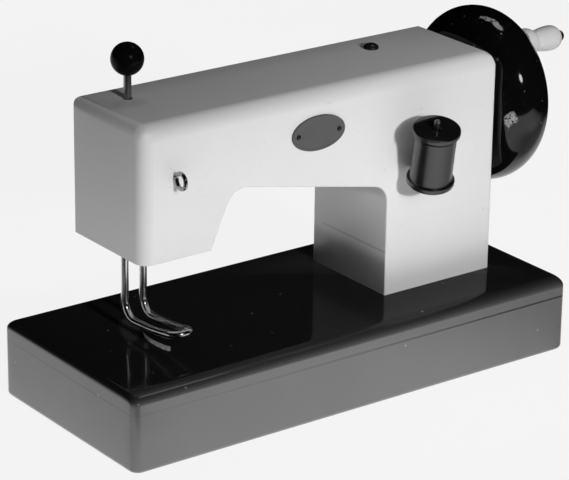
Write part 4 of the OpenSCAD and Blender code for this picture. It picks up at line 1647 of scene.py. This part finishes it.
@dataclass
class Thread:
    """The spool on its hook, and the thread eye."""

    place: Triple = (53.9, -33.996, 93.1)
    tilt: float = 6.3
    lean: float = 14.5
    seat: float = 1.7726
    spool_r: float = 11.3
    barrel_r: float = 9.9
    height: float = 30.0
    flange: float = 2.0
    foot_flange: float = 2.8
    bore_r: float = 2.1
    hook_r: float = 1.5
    hook_bend: float = 4.0
    hook_tip: float = 4.5
    tip_steps: tuple[float, ...] = (0.9, 0.7, 0.5, 0.35, 0.2, 0.1, 0.0)
    eye_middle: Triple = (-81.3, -26.8, 120.2)
    eye_r: float = 3.5
    eye_wire: float = 1.0
    eye_open: float = 34.0

    def build(self, wires: WireRecipe) -> None:
        """Makes the spool, the hook and the eye.

        Args:
            wires: the wires' node tree.
        """
        stand = self.corner() @ Matrix.Rotation(math.radians(self.lean), 4, "X") @ shift(0, 0, self.seat)
        spool = turned("turned_spool", self.spool_outline(), stand, 112)
        axis = stand.to_3x3() @ Vector((0, 0, 1))
        store(spool, "end", [1.0 if abs(v.normal.dot(axis)) > 0.9 else 0.0 for v in spool.data.vertices])
        mount(spool, Rider.REEL, SPOOL_LACQUER, "spool")
        hook = wire(wires, "bent_hook", self.hook_path(), self.hook_r, HOOK_STEEL)
        mount(hook, Rider.MACHINE, HOOK_STEEL, "spool_hook")
        eye = wire(wires, "bent_eye", self.eye_path(), self.eye_wire, EYE_STEEL)
        mount(eye, Rider.MACHINE, EYE_STEEL, "thread_eye")

    def corner(self) -> Matrix:
        """The hook's frame: the corner of shank and arm, turned about the shank."""
        return shift(*self.place) @ Matrix.Rotation(math.radians(-self.tilt), 4, "Y")

    def spool_outline(self) -> list[Point]:
        """The spool's section: two flanges with eased rims, a cove, a fine ring and a countersunk bore.

        Returns:
            Radii and heights in mm.
        """
        r, b, h, hole = self.spool_r, self.barrel_r, self.height, self.bore_r
        low, high = self.foot_flange, self.height - self.flange
        return rounded([
            (hole, 0.5, 0), (hole + 0.5, 0, 0), (r, 0, 0.8), (r, low, 0.6), (b, low, 0.3),
            (b, high - 1.8, 0), (b - 0.3, high - 1.65, 0), (b, high - 1.5, 0.4), (r, high, 0.3), (r, h, 0.45),
            (hole + 0.15, h, 0), (hole, h - 0.15, 0),
        ], steps=5)

    def hook_path(self) -> list[Vector]:
        """The hook's middle line: root, bend, and the leaning arm through the spool.

        Returns:
            Its points in mm.
        """
        turn = 90.0 - self.lean
        reach = self.hook_bend * math.tan(math.radians(turn) / 2)
        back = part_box("spool_hook")[1].y / MM - self.place[1]
        lean = math.radians(self.lean)
        up = Vector((0, -math.sin(lean), math.cos(lean)))
        path = straight(Vector((0, back, 0)), Vector((0, reach, 0)), 10)
        path += arc((0, reach, self.hook_bend), self.hook_bend, 0, turn, 14, (0, 0, -1), (0, -1, 0))
        path += straight(up * reach, up * (self.seat + self.height + self.hook_tip), 12)
        tip = path.pop()
        path += [tip - up * (self.hook_r * s) for s in self.tip_steps]
        place = self.corner()
        return [(place @ (p * MM)) / MM for p in path]

    def eye_path(self) -> list[Vector]:
        """The eye's middle line: root, and the open ring.

        Returns:
            Its points in mm.
        """
        m = Vector(self.eye_middle)
        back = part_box("thread_eye")[1].y / MM
        path = straight(Vector((m.x, back, m.z)), Vector((m.x, m.y + self.eye_r, m.z)), 8)
        return path + arc(m, self.eye_r, 0, -(360.0 - self.eye_open), 48, (0, 1, 0), (0, 0, 1))


@dataclass
class Fittings:
    """The dome stud, and the bare badge with its pins."""

    stud: Triple = (57.4, 16.6, 146.0)
    stud_r: float = 3.75
    stud_h: float = 2.6
    stud_lip: Point = (0.15, 0.25)
    stud_shank: Triple = (0.3, 0.9, 2.0)
    badge: Triple = (-2.7, -22.0, 126.3)
    badge_half: Point = (15.0, 8.4)
    badge_t: float = 0.8
    badge_steps: int = 112
    badge_edge: tuple[Point, ...] = (
        (0.0, 0.0), (0.0, 0.50), (0.08, 0.66), (0.22, 0.76), (0.42, 0.80), (0.85, 0.80), (1.05, 0.76),
        (1.20, 0.70), (1.6, 0.69), (4.0, 0.70), (6.5, 0.71),
    )
    pin_r: float = 1.2
    pin_shank: Point = (0.6, 4.0)

    def build(self, fasteners: FastenerRecipe) -> None:
        """Makes the stud, the badge and its pins.

        Args:
            fasteners: node tree for sets of pins.
        """
        root = self.stud[2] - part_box("dome_stud")[0].z / MM
        inset, lip = self.stud_lip
        tip, thick, taper = self.stud_shank
        line = [(0.0, -root), (tip, -root), (thick, -root + taper), (thick, 0.0), (self.stud_r - inset, 0.0)]
        line += dome(self.stud_r, lip, self.stud_h, 20)
        mount(turned("dome_nail", line, shift(*self.stud), 64, closed=False), Rider.MACHINE, NAIL, "dome_stud")
        self.build_badge()
        lo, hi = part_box("badge_pins")
        front, r = (self.badge[1] - self.badge_t) * MM, self.pin_r * MM
        points = [Vector((x, front, self.badge[2] * MM)) for x in (lo.x + r, hi.x - r)]
        thin, length = self.pin_shank
        line = [(0.0, -length), (thin, -length), (thin, 0.0), *dome(self.pin_r, 0.0, (front - lo.y) / MM, 10)]
        pattern = turned("badge_pin_pattern", line, Matrix.Identity(4), 32, closed=False)
        piece = fasteners.place("badge_pin_set", pattern, points, (math.pi / 2, 0.0, 0.0), NAIL, 2)
        mount(piece, Rider.MACHINE, NAIL, "badge_pins")

    def build_badge(self) -> None:
        """Makes the oval plate with an eased edge and a slightly sunk field."""
        (x, y, z), (a, b) = self.badge, self.badge_half
        turns = [2 * math.pi * k / self.badge_steps for k in range(self.badge_steps)]
        rows = [
            [Vector((x + (a - inset) * math.cos(t), y - height, z + (b - inset) * math.sin(t))) for t in turns]
            for inset, height in self.badge_edge
        ]
        mount(stacked("bare_badge", rows), Rider.MACHINE, BADGE, "badge_plate")


@dataclass(frozen=True)
class Lamp:
    """A round lamp.

    It faces a point in metres, and its stand is in degrees to the left of straight in front, degrees above the
    floor, and metres away. Its width is in metres, its level is the brightness that it gives a white surface
    facing it at that point, its spread is in degrees, and glossy says whether it shows in reflections.
    """

    name: str
    aim: Triple
    stand: Triple
    width: float
    level: float
    spread: float = 180.0
    glossy: bool = True

    def build(self) -> None:
        """Adds the lamp."""
        left, height, away = math.radians(self.stand[0]), math.radians(self.stand[1]), self.stand[2]
        half = math.radians(self.spread) / 2
        gain = math.tan(half) / (math.tan(half) - half) if self.spread < 179.0 else 1.0
        data = bpy.data.lights.new(self.name, "AREA")
        data.shape = "DISK"
        data.size = self.width
        data.spread = 2 * half
        data.energy = self.level * (math.pi * away) ** 2 / gain
        lamp = link(self.name, data)
        way = Vector((-math.sin(left) * math.cos(height), -math.cos(left) * math.cos(height), math.sin(height)))
        lamp.location = Vector(self.aim) + way * away
        lamp.rotation_mode = "QUATERNION"
        lamp.rotation_quaternion = way.to_track_quat("Z", "Y")
        lamp.visible_glossy = self.glossy


LAMPS = (
    Lamp("low_key", (0.11, -0.02, 0.15), (8.5, 17.5, 2.3), 0.16, 0.75, spread=32.0, glossy=False),
    Lamp("high_key", (0.0, -0.02, 0.10), (8.0, 28.6, 2.3), 0.40, 0.11),
    Lamp("ceiling", (0.17, 0.0, 0.146), (208.0, 80.0, 0.42), 0.12, 0.085, spread=96.0),
    Lamp("back_fill", (0.0, 0.03, 0.09), (180.0, 3.0, 2.0), 0.7, 0.22, glossy=False),
    Lamp("right_fill", (0.12, 0.0, 0.09), (270.0, 6.0, 2.0), 0.7, 0.14, glossy=False),
)


@dataclass(frozen=True)
class Dim:
    """A part of the paper that reflections show darker: its edges along x and y in metres, and how dark it is."""

    dark: float
    xs: tuple[Point, ...] = ()
    ys: tuple[Point, ...] = ()

    def mask(self, x: Sock, y: Sock) -> Sock:
        """How dark the paper is at a place."""
        edges = [axis.ramp(*edge) for axis, spans in ((x, self.xs), (y, self.ys)) for edge in spans]
        return reduce(mul, edges) * self.dark


@dataclass
class Studio:
    """Floor, lamps and camera."""

    floor: float = 6.0
    paper: float = 1.0
    paper_share: float = 0.87
    paper_white: float = 0.80
    sky: float = 0.9
    table: Point = (0.37, 0.40)
    table_middle: Point = (-0.065, -0.02)
    table_level: float = 1.4
    front_way: Point = (-0.597, -0.802)
    front_end: Point = (0.28, 0.36)
    card_middle: Point = (0.052, -0.038)
    card_way: Point = (-0.866, -0.5)
    card_reach: Point = (0.200, 0.225)
    card_half: Point = (0.075, 0.055)
    viewer: tuple[Dim, ...] = (
        Dim(1.0, ((-0.06, -0.14),), ((-0.07, -0.12),)),
        Dim(1.0, ((-0.185, -0.215),), ((0.12, 0.06),)),
    )
    viewer_dark: float = 0.92
    dims: tuple[Dim, ...] = (
        Dim(0.6, ((0.03, 0.16),), ((-0.20, -0.12), (-0.03, -0.06))),
        Dim(0.22, ((-0.10, -0.14),)),
        Dim(0.5, ((0.17, 0.40),)),
        Dim(1.0, ((0.34, 0.46),)),
    )
    sensor: float = 36.0
    lens: float = 179.226
    clip: Point = (0.01, 60.0)
    shift: Point = (0.005975, -0.000176)
    turn: Triple = (1.866, -0.6045, 0.4319)
    eye: Triple = (-0.74148, -0.98864, 0.54038)

    def build(self) -> None:
        """Sets the stage."""
        bpy.context.scene.view_settings.view_transform = "Standard"
        self.build_floor()
        self.build_world()
        for lamp in LAMPS:
            lamp.build()
        self.build_table()
        self.build_camera()

    def build_camera(self) -> None:
        """Puts the camera where the photograph was taken from."""
        data = bpy.data.cameras.new("camera")
        data.sensor_width = self.sensor
        data.lens = self.lens
        data.shift_x, data.shift_y = self.shift
        data.clip_start, data.clip_end = self.clip
        camera = link("camera", data)
        turn = Vector(self.turn)
        look = Matrix.Rotation(turn.length, 3, turn).transposed() @ Matrix.Diagonal((1.0, -1.0, -1.0))
        camera.matrix_world = Matrix.Translation(self.eye) @ look.to_4x4()
        bpy.context.scene.camera = camera

    def build_table(self) -> None:
        """Adds the soft light that an opal table gives from below, with a level of 1 for white."""
        data = bpy.data.lights.new("opal_table", "AREA")
        data.shape = "RECTANGLE"
        data.size, data.size_y = self.table
        data.energy = self.table_level * math.pi * data.size * data.size_y
        lamp = link("opal_table", data)
        lamp.location = (*self.table_middle, 0.0002)
        lamp.rotation_euler = (math.pi, 0.0, 0.0)
        lamp.visible_camera = False
        lamp.visible_glossy = False

    def mirrored_paper(self, nodes: Nodes) -> Sock:
        """Marks what reflections show of the paper: it ends in front, and a card, the viewer and the room dim it.

        Args:
            nodes: the floor's tree.

        Returns:
            The paper's brightness in reflections.
        """
        x, y, _ = nodes.parts(nodes.place())
        card_x, card_y = x - self.card_middle[0], y - self.card_middle[1]
        a, b = self.card_way
        beside = (card_x * -b + card_y * a).math("ABSOLUTE")
        card = (card_x * a + card_y * b).ramp(*self.card_reach) * beside.ramp(*self.card_half)
        front = (x * self.front_way[0] + y * self.front_way[1]).ramp(*self.front_end)
        viewer = reduce(add, (dim.mask(x, y) for dim in self.viewer)).held() * self.viewer_dark
        dark = [card, front, viewer, *(dim.mask(x, y) for dim in self.dims)]
        return reduce(mul, (1 - mask for mask in dark))

    def build_floor(self) -> None:
        """Makes the floor: pale paper with the object's soft shadow."""
        half = self.floor / 2
        points = [(-half, -half, 0), (half, -half, 0), (half, half, 0), (-half, half, 0)]
        floor = from_lists("floor", points, [(0, 1, 2, 3)])
        made = bpy.data.materials.new("paper")
        nodes = cleared(made)
        path = nodes.add("ShaderNodeLightPath", {}, {})
        seen = path["Is Camera Ray"]
        mirrored = (path["Is Glossy Ray"] + path["Is Transmission Ray"]).held() * (1 - seen)
        strength = seen * self.paper + mirrored * self.mirrored_paper(nodes)
        glow = nodes.add("ShaderNodeEmission", {}, {"Color": grey(1.0), "Strength": strength})["Emission"]
        cloth = nodes.add("ShaderNodeBsdfDiffuse", {}, {"Color": grey(self.paper_white)})["BSDF"]
        share = seen * self.paper_share + mirrored
        surface = nodes.add("ShaderNodeMixShader", {}, {0: share, 1: cloth, 2: glow})["Shader"]
        nodes.add("ShaderNodeOutputMaterial", {}, {"Surface": surface})
        floor.data.materials.append(made)

    def build_world(self) -> None:
        """Makes a dark room, with a white background where the camera sees past the floor."""
        world = bpy.data.worlds.new("room")
        nodes = cleared(world)
        level = nodes.add("ShaderNodeLightPath", {}, {})["Is Camera Ray"] * self.sky
        back = nodes.add("ShaderNodeBackground", {}, {"Color": grey(1.0), "Strength": level})["Background"]
        nodes.add("ShaderNodeOutputWorld", {}, {"Surface": back})
        bpy.context.scene.world = world


def main() -> None:
    """Builds the studio and the machine's sub-assemblies in order."""
    logging.basicConfig(level=logging.INFO, format="%(message)s")
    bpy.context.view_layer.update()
    wires, wheel, fasteners = WireRecipe(), WheelRecipe(), FastenerRecipe()
    Studio().build()
    Base().build()
    Body().build(fasteners)
    HandWheel().build(wheel)
    NeedleDrive().build(wires)
    Thread().build(wires)
    Fittings().build(fasteners)


if __name__ == "__main__":
    main()
